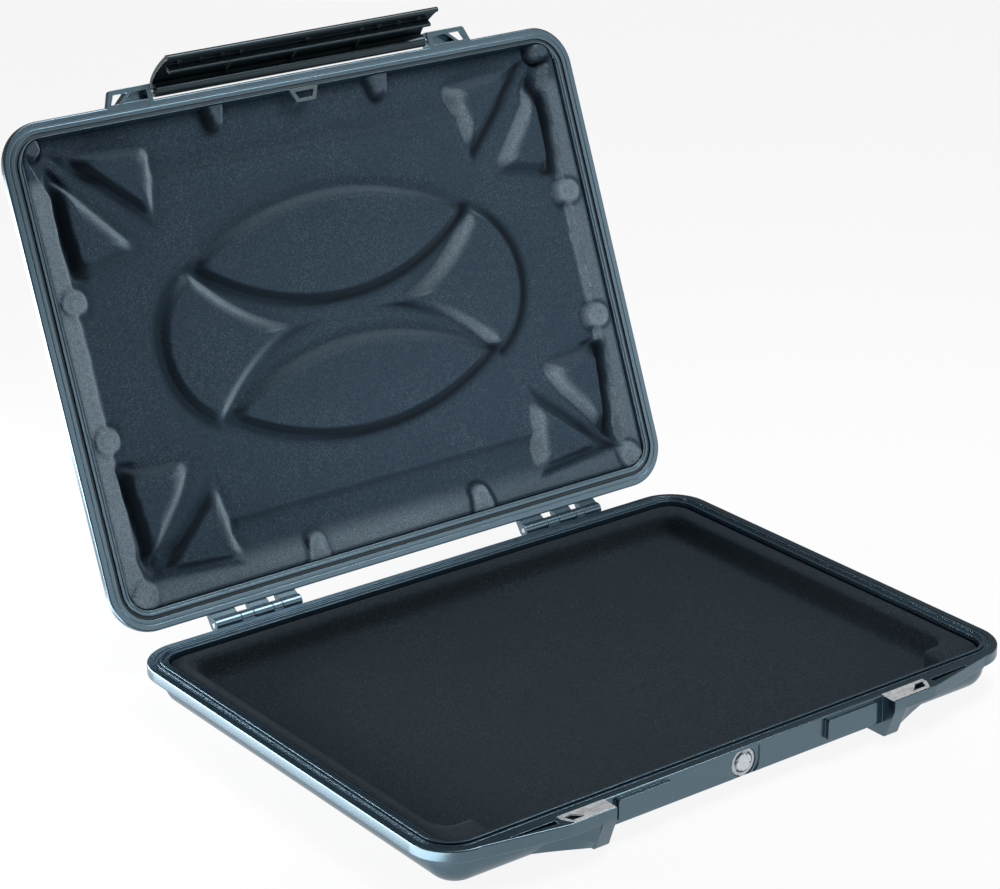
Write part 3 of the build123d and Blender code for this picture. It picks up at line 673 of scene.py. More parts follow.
@dataclass(frozen=True)
class LinerFoam:
    """Dark closed-cell foam with a fine pale fleck. A mesh attribute paints light and shade on it: paler
    above 0, partly the border's thinned skin, darker below 0.

    Attributes:
        name: The finish's name.
        colour: The foam's colour.
        deep: Colour of its darkest cells.
        fleck: Colour of its specks.
        stretch_highlight: Colour of the painted highlight, and of the border's skin pulled thin by the mould.
        cell_scale: Scale of its cells.
        cell_depth: Depth of the cells' relief.
        cells_dark: What the cells' tone gives the dark colour's share.
        cells_pale: What the cells' tone gives the share of that paler colour.
        clouds_flecked: What the clouds give the specks' share.
        painted_shade: Brightness of the painted shade, as a share of the deep colour's.
        roughness: Least and most roughness.
        shine: Level of the reflections.
        sheen: Weight of the fibrous sheen.
        sheen_roughness: Roughness of that sheen.
        sheen_tint: Tint of that sheen.
    """

    name: str
    colour: Colour = (0.0225, 0.041, 0.061)
    deep: Colour = (0.009, 0.017, 0.027)
    fleck: Colour = (0.070, 0.094, 0.115)
    stretch_highlight: Colour = (0.160, 0.210, 0.250)
    cell_scale: float = 1700.0
    cell_depth: float = 0.00014
    cells_dark: Remap = (0.0, 0.55, 0.55, 0.0)
    cells_pale: Remap = (0.05, 0.55, 0.55, 1.15)
    clouds_flecked: Remap = (0.0, 1.0, 0.3, 0.6)
    painted_shade: float = 0.3
    roughness: Span = (0.86, 0.97)
    shine: float = 0.10
    sheen: float = 0.06
    sheen_roughness: float = 0.5
    sheen_tint: Colour = (0.7, 0.88, 1.0)

    def material(self) -> bpy.types.Material:
        """Builds the finish.

        Returns:
            The material.
        """
        material, tree, shader = surface(self.name)
        grain = FoamGrain().place_in(tree, Cell_scale=self.cell_scale)
        # The mesh attribute: painted highlight above 0, and on the lid's border also skin pulled thin by the
        # mould. Painted shade below 0.
        stretch_and_light = tree.add("ShaderNodeAttribute", attribute_name="stretch_and_painted_light").outputs["Fac"]
        dark = tree.spread(grain.outputs["Cells"], *self.cells_dark)
        body = tree.mixed(dark, opaque(self.colour), opaque(self.deep))
        # Painted shade: a dimmed copy of the deep colour.
        painted_shade = tree.maths("MULTIPLY", stretch_and_light, -1.0, clamp=True)
        body = tree.mixed(painted_shade, body, opaque(self.deep, self.painted_shade))
        # Painted highlight, and the border's paleness, in the paler colour.
        uneven = tree.spread(grain.outputs["Cells"], *self.cells_pale)
        pale = tree.maths("MULTIPLY", stretch_and_light, uneven, clamp=True)
        body = tree.mixed(pale, body, opaque(self.stretch_highlight))
        clouds = tree.spread(grain.outputs["Clouds"], *self.clouds_flecked)
        flecks = tree.maths("MULTIPLY", grain.outputs["Specks"], clouds)
        flecks = tree.maths("SUBTRACT", flecks, painted_shade, clamp=True)
        tree.link(tree.mixed(flecks, body, opaque(self.fleck)), shader.inputs["Base Color"])
        rough = tree.spread(grain.outputs["Clouds"], 0.0, 1.0, *self.roughness)
        tree.link(rough, shader.inputs["Roughness"])
        tree.link(bump(tree, grain.outputs["Height"], self.cell_depth), shader.inputs["Normal"])
        shader.inputs["Sheen Weight"].default_value = self.sheen
        shader.inputs["Sheen Roughness"].default_value = self.sheen_roughness
        shader.inputs["Sheen Tint"].default_value = opaque(self.sheen_tint)
        shader.inputs["Specular IOR Level"].default_value = self.shine
        return material


@dataclass(frozen=True)
class BrushedSteel:
    """Steel with brush lines and faint stains.

    Attributes:
        name: The finish's name.
        colour: The steel's colour.
        roughness: Its middle roughness.
        across: Scale of the lines across their length.
        stained: Brightness of the stains, as a share of the steel's.
        edge: Colour of its rubbed edges.
        edge_radius: Radius of the softened edges.
        line_depth: Depth of the lines.
        lined: Range of the lines' pattern that counts.
        swing: How far the lines take the roughness down and up.
    """

    name: str
    colour: Colour = (0.62, 0.63, 0.65)
    roughness: float = 0.26
    across: float = 4200.0
    stained: float = 0.78
    edge: Colour = (0.9, 0.9, 0.9)
    edge_radius: float = 0.0002
    line_depth: float = 0.00001
    lined: Span = (0.3, 0.7)
    swing: Span = (-0.06, 0.10)

    def material(self) -> bpy.types.Material:
        """Builds the finish.

        Returns:
            The material.
        """
        material, tree, shader = surface(self.name)
        lines = BrushLines().place_in(tree, Across=self.across)
        edges = EdgeWearHighlight().place_in(tree, Radius=self.edge_radius)
        body = tree.mixed(lines.outputs["Stains"], opaque(self.colour), opaque(self.colour, self.stained))
        tree.link(tree.mixed(edges.outputs["Mask"], body, opaque(self.edge)), shader.inputs["Base Color"])
        low, high = (self.roughness + swing for swing in self.swing)
        rough = tree.spread(lines.outputs["Lines"], *self.lined, low, high)
        tree.link(rough, shader.inputs["Roughness"])
        normal = bump(tree, lines.outputs["Lines"], self.line_depth, edges.outputs["Normal"])
        tree.link(normal, shader.inputs["Normal"])
        shader.inputs["Metallic"].default_value = 1.0
        return material


# ------------------------------------------------------------------ the lid's moulded foam
@dataclass(frozen=True)
class PadShape:
    """One raised pad of the sheet, the same left and right of the middle.

    Attributes:
        face_mm: Height of its face when the lid is closed. Pads reach down, so a lower face stands out more.
        shoulder_mm: Width of the slope round it.
        crown_mm: How far the face bulges.
        lean: Share by which the slope is wider towards the sheet's middle and narrower away from it.
        moat_mm: How far the floor dips just outside it.
        dimple_mm: How deep a ring is sunk into its face.
        bias: How much its slope is taken to face the light, whichever way it turns.
        pale: Painted highlight on its face.
        outline_shadow: How dark the painted shadow line round it is.
        crown_reach_mm: How far inside the bulge is full.
        dimple_ring: Where the ring lies, inside the outline.
        moat_place: Where the dip lies, as a share of the slope's width.
        moat_width: The dip's width, as a share of the slope's width.
    """

    face_mm: float
    shoulder_mm: float
    crown_mm: float = 0.5
    lean: float = 0.35
    moat_mm: float = 0.9
    dimple_mm: float = 0.0
    bias: float = 0.0
    pale: float = 0.0
    outline_shadow: float = 0.0
    crown_reach_mm: float = 26.0
    dimple_ring: Hump = (2.9, 1.1)
    moat_place: float = -0.75
    moat_width: float = 0.45

    def distance(self, x: np.ndarray, y: np.ndarray) -> np.ndarray:
        """Distance inside the outline in mm, negative outside. x counts from the middle outwards."""
        raise NotImplementedError

    def share(self, x: np.ndarray, y: np.ndarray) -> tuple[np.ndarray, np.ndarray]:
        """How much of the pad's height shows at each place, and how deep inside it lies.

        Args:
            x: Places from the middle outwards, in mm.
            y: Places from front to back, in mm.

        Returns:
            The share from 0 to 1, and the distance inside in mm.
        """
        inside = self.distance(x, y)
        lean = np.clip((self.distance(x + PROBE_MM, y) - inside) / PROBE_MM, -1.0, 1.0)
        width = self.shoulder_mm * (1.0 + self.lean * lean)
        return ease(inside / width + 0.5), inside

    def face(self, inside: np.ndarray) -> np.ndarray:
        """Height of the pad's face, crowned, and dimpled in a ring."""
        crowned = self.face_mm - self.crown_mm * ease(inside / self.crown_reach_mm)
        return crowned + self.dimple_mm * hump(inside, *self.dimple_ring)

    def moat(self, inside: np.ndarray) -> np.ndarray:
        """How far the floor dips just outside the pad."""
        place, width = self.moat_place * self.shoulder_mm, self.moat_width * self.shoulder_mm
        return self.moat_mm * hump(inside, place, width)


@dataclass(frozen=True)
class LensPad(PadShape):
    """Pad bounded by two arcs that meet in rounded tips left and right.

    Attributes:
        tip: Where the arcs would meet.
        front_mm: The front arc's apex.
        back_mm: The back arc's apex.
        tip_round_mm: Rounding of the tips.
    """

    tip: Point = (0.0, 0.0)
    front_mm: float = 0.0
    back_mm: float = 0.0
    tip_round_mm: float = 9.0

    def distance(self, x: np.ndarray, y: np.ndarray) -> np.ndarray:
        """Distance inside both arcs.

        Args:
            x: Places from the middle outwards, in mm.
            y: Places from front to back, in mm.

        Returns:
            The distance in mm, rounded at the tips.
        """
        fields = []
        for apex in (self.front_mm, self.back_mm):
            rise = apex - self.tip[1]
            radius = (self.tip[0] ** 2 + rise**2) / (2.0 * abs(rise))
            centre = apex - math.copysign(radius, rise)
            fields.append(radius - np.hypot(x, y - centre))
        return soft_min(fields[0], fields[1], self.tip_round_mm)


@dataclass(frozen=True)
class FanPad(PadShape):
    """Pad between the lenses: round on its outer side and hollowed along each lens.

    Attributes:
        centre: Middle of the outer side's arc.
        radius_mm: That arc's radius.
        front_hollow: Middle and radius of the hollow along the front lens.
        back_hollow: Middle and radius of the hollow along the back lens.
        hollow_round_mm: Rounding of the corners at the hollows.
    """

    centre: Point = (82.5, -2.5)
    radius_mm: float = 54.0
    front_hollow: Circle = (0.0, -130.0, 137.0)
    back_hollow: Circle = (0.0, 130.0, 140.0)
    hollow_round_mm: float = 5.0

    def distance(self, x: np.ndarray, y: np.ndarray) -> np.ndarray:
        """Distance inside the outer arc and outside both hollows.

        Args:
            x: Places from the middle outwards, in mm.
            y: Places from front to back, in mm.

        Returns:
            The distance in mm.
        """
        inside = self.radius_mm - np.hypot(x - self.centre[0], y - self.centre[1])
        for centre_x, centre_y, radius in (self.front_hollow, self.back_hollow):
            outside = np.hypot(x - centre_x, y - centre_y) - radius
            inside = soft_min(inside, outside, self.hollow_round_mm)
        return inside


@dataclass(frozen=True)
class CornerPad(PadShape):
    """Pad with straight sides and rounded corners.

    Attributes:
        corners: Where the sides would meet.
        round_mm: Rounding of the corners.
    """

    corners: tuple[Point, ...] = ()
    round_mm: float = 7.0

    def distance(self, x: np.ndarray, y: np.ndarray) -> np.ndarray:
        """Distance inside every side.

        Args:
            x: Places from the middle outwards, in mm.
            y: Places from front to back, in mm.

        Returns:
            The distance in mm, rounded at the corners.
        """
        middle = np.mean(self.corners, axis=0)
        inside = None
        for start, end in zip(self.corners, self.corners[1:] + self.corners[:1]):
            side = np.array(end) - np.array(start)
            normal = np.array((-side[1], side[0])) / np.hypot(*side)
            if normal @ (middle - np.array(start)) < 0:
                normal = -normal
            away = (x - start[0]) * normal[0] + (y - start[1]) * normal[1]
            inside = away if inside is None else soft_min(inside, away, self.round_mm)
        return inside


@dataclass(frozen=True)
class Peg(PadShape):
    """Tongue that runs in from the border and ends round.

    Attributes:
        root: Middle of its outer end.
        tip: Middle of its inner end.
        root_mm: Radius at the outer end.
        tip_mm: Radius at the inner end.
    """

    root: Point = (0.0, 0.0)
    tip: Point = (0.0, 0.0)
    root_mm: float = 7.5
    tip_mm: float = 5.0

    def distance(self, x: np.ndarray, y: np.ndarray) -> np.ndarray:
        """Distance inside a round-ended, slightly tapered bar.

        Args:
            x: Places from the middle outwards, in mm.
            y: Places from front to back, in mm.

        Returns:
            The distance in mm.
        """
        along = np.array(self.tip) - np.array(self.root)
        length = float(along @ along)
        place = ((x - self.root[0]) * along[0] + (y - self.root[1]) * along[1]) / length
        place = np.clip(place, 0.0, 1.0)
        gap = np.hypot(x - self.root[0] - place * along[0], y - self.root[1] - place * along[1])
        return self.root_mm + (self.tip_mm - self.root_mm) * place - gap


@dataclass(frozen=True)
class PaintedSkinLight:
    """Painted light and shade on the foam's skin, set by the way its slopes face.

    Slopes that face the sheet's middle and its front, which is up while the lid stands open, face the light
    and get a painted highlight.
    The others get painted shade. A facing is 1 towards the middle and the front, and -1 away from them.

    Attributes:
        probe_mm: Step over which the sheet's slope is measured.
        middle_mm: Distance from the middle at which the sideways part of a facing has a weight of 1.
        frontal: Weight of its part from front to back.
        steep: Slope from which a place counts as a slope.
        slope_highlight: Painted highlight of a slope with a facing of 1.
        slope_shade: Painted shade of a slope with a facing of -1.
        highlight_facing: Facing from which a slope gets the painted highlight.
        shade_facing: Facing from which a slope gets painted shade.
        least_highlight: Share of the painted highlight that a slope along the front or back keeps.
        sideways: Sideways part of the facing at which it has the rest of it.
        left_relief: Share by which the painted shade beside the pads is less on the left.
        left_side: Where that relief grows.
        right_relief: Share by which the border's paleness, partly painted light, is less on the right.
        right_side: Where that relief grows.
        painted_shade: Painted shade of the floor where the shade band is full.
        slope_reach: Where a pad's bias counts.
        peg_line: Where the painted shadow line round a peg lies.
        peg_face: Where a peg's painted highlight starts.
        peg_ring: Where the ring of painted highlight in a dimpled peg lies.
        peg_middle: Painted highlight of a peg off its ring.
        peg_clear: How much faster than a peg's painted highlight the painted shade on it fades.
        band_place_mm: How far outside a pad the band of painted shade lies, and how much further out at its
            sides.
        band_width_mm: The band's width, and how much wider it is at the sides.
        band_facing: Facing at which the band shows.
        brow: Where the painted highlight inside a pad's edge lies.
        brow_highlight: The strength of that painted highlight.
        brow_facing: Facing at which the brow shows.
        brow_least: Share of the brow that shows along the front and back.
        brow_side_mm: How far from the middle the rest of it shows.
    """

    probe_mm: float = 0.4
    middle_mm: float = 100.0
    frontal: float = 0.55
    steep: Ramp = (0.35, 0.8)
    slope_highlight: float = 0.85
    slope_shade: float = 0.8
    highlight_facing: Ramp = (-0.05, 0.9)
    shade_facing: Ramp = (0.15, -0.7)
    least_highlight: float = 0.25
    sideways: Ramp = (0.0, 0.8)
    left_relief: float = 0.55
    left_side: Ramp = (0.0, -60.0)
    right_relief: float = 0.5
    right_side: Ramp = (0.0, 100.0)
    painted_shade: float = 0.95
    slope_reach: Hump = (0.0, 4.5)
    peg_line: Hump = (-2.0, 1.5)
    peg_face: Ramp = (-0.45, 1.5)
    peg_ring: Hump = (2.6, 1.5)
    peg_middle: float = 0.55
    peg_clear: float = 2.0
    band_place_mm: tuple[float, float] = (3.4, 1.8)
    band_width_mm: tuple[float, float] = (2.2, 1.5)
    band_facing: Ramp = (0.1, -0.8)
    brow: Hump = (2.4, 2.8)
    brow_highlight: float = 0.65
    brow_facing: Ramp = (0.15, 0.6)
    brow_least: float = 0.15
    brow_side_mm: float = 80.0


@dataclass
class Surrounds:
    """Painted light and shade that the pads add to the skin on and beside them.

    Attributes:
        shade: Painted shade on the floor beside them.
        light: How much more their slopes face the light.
        glow: Painted highlight on the pegs.
        brow_highlights: Painted highlight along the pads' inner edges.
    """

    shade: np.ndarray
    light: np.ndarray
    glow: np.ndarray
    brow_highlights: np.ndarray


@dataclass
class LidFoam:
    """Moulded foam sheet in the lid: border, valleys, raised middle, pads and pegs.

    Heights are given as the lid lies closed. Places count from the middle to both sides and from front to
    back.

    Attributes:
        turn: The lid's turn to its rest pose.
        side_mm: Half the sheet's width.
        front_mm: Its front edge.
        back_mm: Its back edge.
        corner_mm: Radius of its corners.
        border_mm: Height of the border's face.
        valley_mm: Height of the valleys' floor.
        middle_mm: Height of the raised middle.
        middle_front: Where the middle rises at the front.
        middle_back: Where it falls at the back.
        ridge_mm: How far the ridges across the sheet stand out.
        ridge_places_mm: Where they run.
        ridge_width_mm: Their width.
        ridge_ends: Where they end.
        channel_mm: How much deeper the dip round the pads is beside the border.
        channel: Where it gets deeper.
        pocket: Corners of the room inside the border.
        pocket_round_mm: Rounding of that room's corners.
        border_reach_mm: How far outside that room the border's slope starts.
        border_slope_mm: Width of the border's slope.
        border_waves: Waves of the border's inner edge.
        narrowed_mm: How much narrower the border's sides are at the front.
        narrowed: Where they get narrower.
        rear_band: Where the border widens at the back.
        shown: Where the border's paleness starts at the front. The front strip, which is up while the lid
            stands open, gets none, as it lies in shade.
        side_strip: Where the border is paler along the sides. This is partly skin pulled thin by the mould
            and partly painted light.
        side_strip_front: Where that strip starts at the front.
        rear_strip: Where it is paler along the back.
        rear_paleness: How much paler it is there.
        rolled_mm: How far the sheet's edge is rolled back.
        roll_mm: Width of that roll.
        rear_mm: Height of the sheet's rear face.
        rear_inset_mm: How far that face's edge is drawn in.
        wall_levels: Shares of the outer wall's height at which it has points.
        draft: Slope of the outer wall.
        step_mm: Size of the mesh's cells.
        corner_steps: Cells round each corner.
        edge_rings: Rings of cells between the grid and the outer wall.
        tone: The painted light and shade on the skin.
        pads: The pads and pegs.
    """

    turn: HingeTurn
    side_mm: float = 204.2
    front_mm: float = -149.2
    back_mm: float = 146.2
    corner_mm: float = 14.4
    border_mm: float = 30.0
    valley_mm: float = 38.4
    middle_mm: float = 34.7
    middle_front: Ramp = (-124.0, 13.0)
    middle_back: Ramp = (117.0, -12.0)
    ridge_mm: float = 1.3
    ridge_places_mm: tuple[float, float] = (-111.0, 105.0)
    ridge_width_mm: float = 3.4
    ridge_ends: Ramp = (132.0, -14.0)
    channel_mm: float = 3.2
    channel: Ramp = (172.0, 10.0)
    pocket: tuple[Point, ...] = ((191.2, -160.0), (191.2, 190.0), (-191.2, 190.0), (-191.2, -160.0))
    pocket_round_mm: float = 7.0
    border_reach_mm: float = 1.8
    border_slope_mm: float = 4.2
    border_waves: tuple[Wave, ...] = ((0.5, 0.131, 0.0), (0.35, 0.317, 0.02))
    narrowed_mm: float = 8.0
    narrowed: Ramp = (-112.0, -30.0)
    rear_band: Ramp = (114.0, 27.0)
    shown: Ramp = (-143.0, 8.0)
    side_strip: Ramp = (187.0, 4.0)
    side_strip_front: Ramp = (-128.0, 10.0)
    rear_strip: Ramp = (124.0, 16.0)
    rear_paleness: float = 0.7
    rolled_mm: float = 0.9
    roll_mm: float = 1.6
    rear_mm: float = 44.2
    rear_inset_mm: float = 2.2
    wall_levels: tuple[float, ...] = (0.3, 0.85, 1.0)
    draft: float = math.tan(math.radians(12.0))
    step_mm: float = 1.25
    corner_steps: int = 10
    edge_rings: int = 11
    tone: PaintedSkinLight = PaintedSkinLight()
    pads: list[PadShape] = field(init=False)

    def __post_init__(self) -> None:
        """Sets the pads out as they lie on the sheet."""
        face_mm, lens_mm, corner_mm = 29.3, 7.0, 6.0
        lenses = (((102.5, -52.0), -80.4, -15.4), ((99.5, 44.3), 15.8, 72.8))
        triangles = (
            ((168.0, -133.0), (117.0, -130.0), (125.0, -92.0)),
            ((183.0, -118.0), (144.5, -73.5), (181.0, -66.0), (184.5, -105.0)),
            ((184.0, 62.5), (143.5, 66.0), (146.0, 75.0), (179.0, 113.0)),
            ((127.0, 86.5), (120.0, 130.5), (171.0, 126.0)),
        )
        front_peg = {"root": (63.0, -157.0), "tip": (63.4, -139.5), "root_mm": 8.8, "tip_mm": 4.6}
        back_peg = {"root": (66.0, 156.0), "tip": (65.5, 135.5), "root_mm": 10.0, "tip_mm": 6.4}
        corner_peg = {"root": (200.5, -157.0), "tip": (195.5, -144.0), "root_mm": 7.5, "tip_mm": 6.0}
        side_pegs = (
            ((193.5, -47.0), (190.8, -47.0), 7.6),
            ((194.0, 40.0), (191.3, 40.0), 7.6),
            ((194.5, 141.0), (192.5, 138.0), 8.4),
        )
        # The pegs get a painted highlight on their faces and a painted shadow line round them.
        side_peg = {"dimple_mm": 1.1, "pale": 1.1, "outline_shadow": 0.35}
        self.pads = [
            *(
                LensPad(face_mm, lens_mm, crown_mm=0.9, tip=tip, front_mm=front, back_mm=back)
                for tip, front, back in lenses
            ),
            FanPad(face_mm, lens_mm, bias=0.6),
            *(CornerPad(face_mm, corner_mm, corners=corners) for corners in triangles),
            Peg(28.7, 5.0, pale=0.45, outline_shadow=0.9, **front_peg),
            Peg(28.5, 5.0, dimple_mm=0.8, pale=1.1, outline_shadow=0.7, **back_peg),
            Peg(28.7, 3.0, moat_mm=2.2, pale=0.35, outline_shadow=1.0, **corner_peg),
            *(
                Peg(28.4, 4.2, root=root, tip=tip, root_mm=width, tip_mm=width - 0.2, **side_peg)
                for root, tip, width in side_pegs
            ),
        ]

    def heights(self, across: np.ndarray, y: np.ndarray) -> tuple[np.ndarray, np.ndarray]:
        """Height of the sheet's face, and how pale its border is, partly skin pulled thin by the mould and
        partly painted light.

        Args:
            across: Places from left to right, in mm.
            y: Places from front to back, in mm.

        Returns:
            Heights in mm as the lid lies closed, and the border's paleness from 0 to 1.
        """
        x = np.abs(across)
        raised = ramp(y, *self.middle_front) * ramp(y, *self.middle_back)
        floor = self.valley_mm + (self.middle_mm - self.valley_mm) * raised
        for place in self.ridge_places_mm:
            floor = floor - self.ridge_mm * hump(y, place, self.ridge_width_mm) * ramp(x, *self.ridge_ends)
        for pad in self.pads:
            outer = 0.0 if isinstance(pad, Peg) else self.channel_mm * ramp(x, *self.channel)
            floor = floor + pad.moat(pad.distance(x, y)) * (1.0 + outer / pad.moat_mm)
        wobble = sum(swing * np.sin(y * along + across * aside) for swing, along, aside in self.border_waves)
        pocket = CornerPad(0.0, 0.0, corners=self.pocket, round_mm=self.pocket_round_mm)
        inside = pocket.distance(x - self.narrowed_mm * ramp(y, *self.narrowed), y)
        border = 1.0 - ease((inside + self.border_reach_mm + wobble) / self.border_slope_mm)
        border = 1.0 - (1.0 - border) * (1.0 - ramp(y, *self.rear_band))
        height = floor * (1.0 - border) + self.border_mm * border
        # Paler border strips along the sides and back, partly skin pulled thin by the mould and partly
        # painted light. The front strip gets none, as it lies in shade.
        sides = ramp(x, *self.side_strip) * ramp(y, *self.side_strip_front)
        rear = self.rear_paleness * ramp(y, *self.rear_strip)
        stretch_and_painted_light = ramp(y, *self.shown) * np.maximum(sides, rear)
        for pad in self.pads:
            share, inside = pad.share(x, y)
            face = pad.face(inside)
            target = np.minimum(face, height) if isinstance(pad, Peg) and not pad.dimple_mm else face
            height = height + (target - height) * share
        rolled = np.minimum(np.minimum(self.side_mm - x, y - self.front_mm), self.back_mm - y)
        height = height + self.rolled_mm * (1.0 - ease(rolled / self.roll_mm))
        return height, stretch_and_painted_light

    def skin(self, across: np.ndarray, y: np.ndarray) -> tuple[np.ndarray, np.ndarray]:
        """Height of the face, and the painted light and shade on its skin.

        Args:
            across: Places from left to right, in mm.
            y: Places from front to back, in mm.

        Returns:
            Heights in mm as the lid lies closed, and the tone from -1, full painted shade, to 1, full painted
            highlight and the border's paleness.
        """
        tone = self.tone
        height, stretch_and_painted_light = self.heights(across, y)
        slope_x = (self.heights(across + tone.probe_mm, y)[0] - height) / tone.probe_mm
        slope_y = (self.heights(across, y + tone.probe_mm)[0] - height) / tone.probe_mm
        slope = np.maximum(np.hypot(slope_x, slope_y), TINY)
        steep = ramp(slope, *tone.steep)
        inward = -across / tone.middle_mm
        facing = (slope_x * inward - tone.frontal * slope_y) / (slope * np.hypot(inward, tone.frontal))
        sideways = ramp(np.abs(inward * slope_x) / slope, *tone.sideways)
        around = self.surrounds(np.abs(across), y)
        facing = facing + around.light
        # Painted shade beside the pads, less on the left.
        shade = around.shade * (1.0 - tone.left_relief * ramp(across, *tone.left_side))
        # Slopes that face the middle and the front face the light and get a painted highlight. The others get
        # painted shade.
        pale = tone.slope_highlight * ramp(facing, *tone.highlight_facing)
        pale = pale * (tone.least_highlight + (1.0 - tone.least_highlight) * sideways)
        dark = tone.slope_shade * ramp(facing, *tone.shade_facing)
        # The border's paleness, partly painted light, is less on the right.
        stretch_and_painted_light = stretch_and_painted_light * (1.0 - tone.right_relief * ramp(across, *tone.right_side))
        value = stretch_and_painted_light * (1.0 - steep * dark) + steep * (pale - dark)
        # Painted highlights along the pads' inner edges, and painted shade beside the pads.
        value = (value + around.brow_highlights) * (1.0 - shade) - tone.painted_shade * shade
        # The pegs' painted highlight goes over the rest.
        value = value * (1.0 - np.minimum(around.glow, 1.0)) + around.glow
        return height, np.clip(value, -1.0, 1.0)

    def surrounds(self, x: np.ndarray, y: np.ndarray) -> Surrounds:
        """Works out the painted light and shade that the pads add on and beside them.

        Args:
            x: Places from the middle outwards, in mm.
            y: Places from front to back, in mm.

        Returns:
            The shares that they add.
        """
        tone = self.tone
        around = Surrounds(*(np.zeros_like(x) for _ in range(4)))
        for pad in self.pads:
            inside = pad.distance(x, y)
            around.light = np.maximum(around.light, pad.bias * hump(inside, *tone.slope_reach))
            if isinstance(pad, Peg):
                # A painted shadow line round each peg.
                around.shade = np.maximum(around.shade, pad.outline_shadow * hump(inside, *tone.peg_line))
                ring = hump(inside, *tone.peg_ring) if pad.dimple_mm else 0.0
                # A painted highlight on the peg's face, fullest on the ring of a dimpled peg.
                glow = pad.pale * ramp(inside, *tone.peg_face)
                glow = glow * (tone.peg_middle + (1.0 - tone.peg_middle) * ring)
                around.glow = np.maximum(around.glow, glow)
                continue
            step_x = (pad.distance(x + PROBE_MM, y) - inside) / PROBE_MM
            step_y = (pad.distance(x, y + PROBE_MM) - inside) / PROBE_MM
            step = np.maximum(np.hypot(step_x, step_y), TINY)
            outward = x / tone.middle_mm
            facing = (step_x * outward + tone.frontal * step_y) / (step * np.hypot(outward, tone.frontal))
            sideways = np.abs(step_x) / step
            place, width = (near + more * sideways for near, more in (tone.band_place_mm, tone.band_width_mm))
            # A band of painted shade on the floor outside the slopes that face away from the light.
            band = hump(inside, -place, width) * ramp(facing, *tone.band_facing)
            around.shade = np.maximum(around.shade, band)
            # A painted highlight inside the edges that face the light.
            brow = tone.brow_highlight * hump(inside, *tone.brow) * ramp(facing, *tone.brow_facing)
            shown = tone.brow_least + (1.0 - tone.brow_least) * ease(sideways * x / tone.brow_side_mm)
            around.brow_highlights = np.maximum(around.brow_highlights, brow * shown)
        around.shade = around.shade * (1.0 - np.minimum(around.glow * tone.peg_clear, 1.0))
        return around

    def outline(self) -> tuple[np.ndarray, list[tuple[int, Point]], int, int]:
        """Inner grid of the sheet and the walk round its edge.

        Returns:
            The grid's points, the edge's grid numbers with their outward directions, and the grid's steps
            across and along.
        """
        half = self.side_mm - self.corner_mm
        low, high = self.front_mm + self.corner_mm, self.back_mm - self.corner_mm
        steps_x = round(2.0 * half / self.step_mm)
        steps_y = round((high - low) / self.step_mm)
        xs, ys = np.linspace(-half, half, steps_x + 1), np.linspace(low, high, steps_y + 1)
        grid = np.array([(x, y) for y in ys for x in xs])
        row = steps_x + 1
        sides = (
            ([i for i in range(row)], -90.0),
            ([j * row + steps_x for j in range(steps_y + 1)], 0.0),
            ([steps_y * row + i for i in range(steps_x, -1, -1)], 90.0),
            ([j * row for j in range(steps_y, -1, -1)], 180.0),
        )
        walk: list[tuple[int, Point]] = []
        for numbers, facing in sides:
            towards = (math.cos(math.radians(facing)), math.sin(math.radians(facing)))
            walk += [(number, towards) for number in numbers]
            for step in range(1, self.corner_steps):
                angle = math.radians(facing + 90.0 * step / self.corner_steps)
                walk.append((numbers[-1], (math.cos(angle), math.sin(angle))))
        return grid, walk, steps_x, steps_y

    def build(self) -> bpy.types.Object:
        """Makes the sheet as one closed mesh at the rest pose.

        Returns:
            The new piece.
        """
        grid, walk, steps_x, steps_y = self.outline()
        numbers = np.array([number for number, _ in walk])
        towards = np.array([direction for _, direction in walk])
        rings = np.linspace(0.0, 1.0, self.edge_rings + 1)[1:]
        flat = [grid] + [grid[numbers] + towards * self.corner_mm * ring for ring in rings]
        heights, stretch_and_light_rings = zip(*(self.skin(points[:, 0], points[:, 1]) for points in flat))
        points = np.vstack([np.column_stack((f, h)) for f, h in zip(flat, heights)])
        stretch_and_light = np.concatenate(stretch_and_light_rings)
        edge, brim = grid[numbers], heights[-1]
        for share in self.wall_levels:
            level = brim + (self.rear_mm - brim) * share
            drawn_in = self.rear_inset_mm if share == self.wall_levels[-1] else 0.0
            inset = (level - self.border_mm) * self.draft + drawn_in
            ring = edge + towards * (self.corner_mm - inset)[:, None]
            points = np.vstack((points, np.column_stack((ring, level))))
            stretch_and_light = np.concatenate((stretch_and_light, np.zeros(len(ring))))
        faces = self.faces(numbers, steps_x, steps_y)
        piece = mesh_object("lid_foam_sheet", self.turn.turned(points * MM), faces)
        # The mesh attribute carries the painted light and shade on the skin, and the border's paleness.
        attribute = piece.data.attributes.new("stretch_and_painted_light", "FLOAT", "POINT")
        attribute.data.foreach_set("value", stretch_and_light.astype(np.float32))
        return piece

    def faces(self, numbers: np.ndarray, steps_x: int, steps_y: int) -> list[tuple[int, ...]]:
        """Joins the grid, the rings round it, the outer wall and the rear face.

        Args:
            numbers: The grid's number at each place of the walk round its edge.
            steps_x: The grid's steps across.
            steps_y: The grid's steps along.

        Returns:
            The corner numbers of each face.
        """
        row, count = steps_x + 1, len(numbers)
        inner = row * (steps_y + 1)
        between = self.edge_rings + len(self.wall_levels) - 1
        faces: list[tuple[int, ...]] = [
            (j * row + i, j * row + i + 1, (j + 1) * row + i + 1, (j + 1) * row + i)
            for j in range(steps_y)
            for i in range(steps_x)
        ]
        for k in range(count):
            following = (k + 1) % count
            first, second = int(numbers[k]), int(numbers[following])
            fan = (first, inner + k, inner + following)
            faces.append(fan if first == second else (*fan, second))
            for level in range(between):
                start = inner + level * count
                faces.append((start + k, start + count + k, start + count + following, start + following))
        last = inner + between * count
        faces.append(tuple(range(last, last + count)))
        return faces


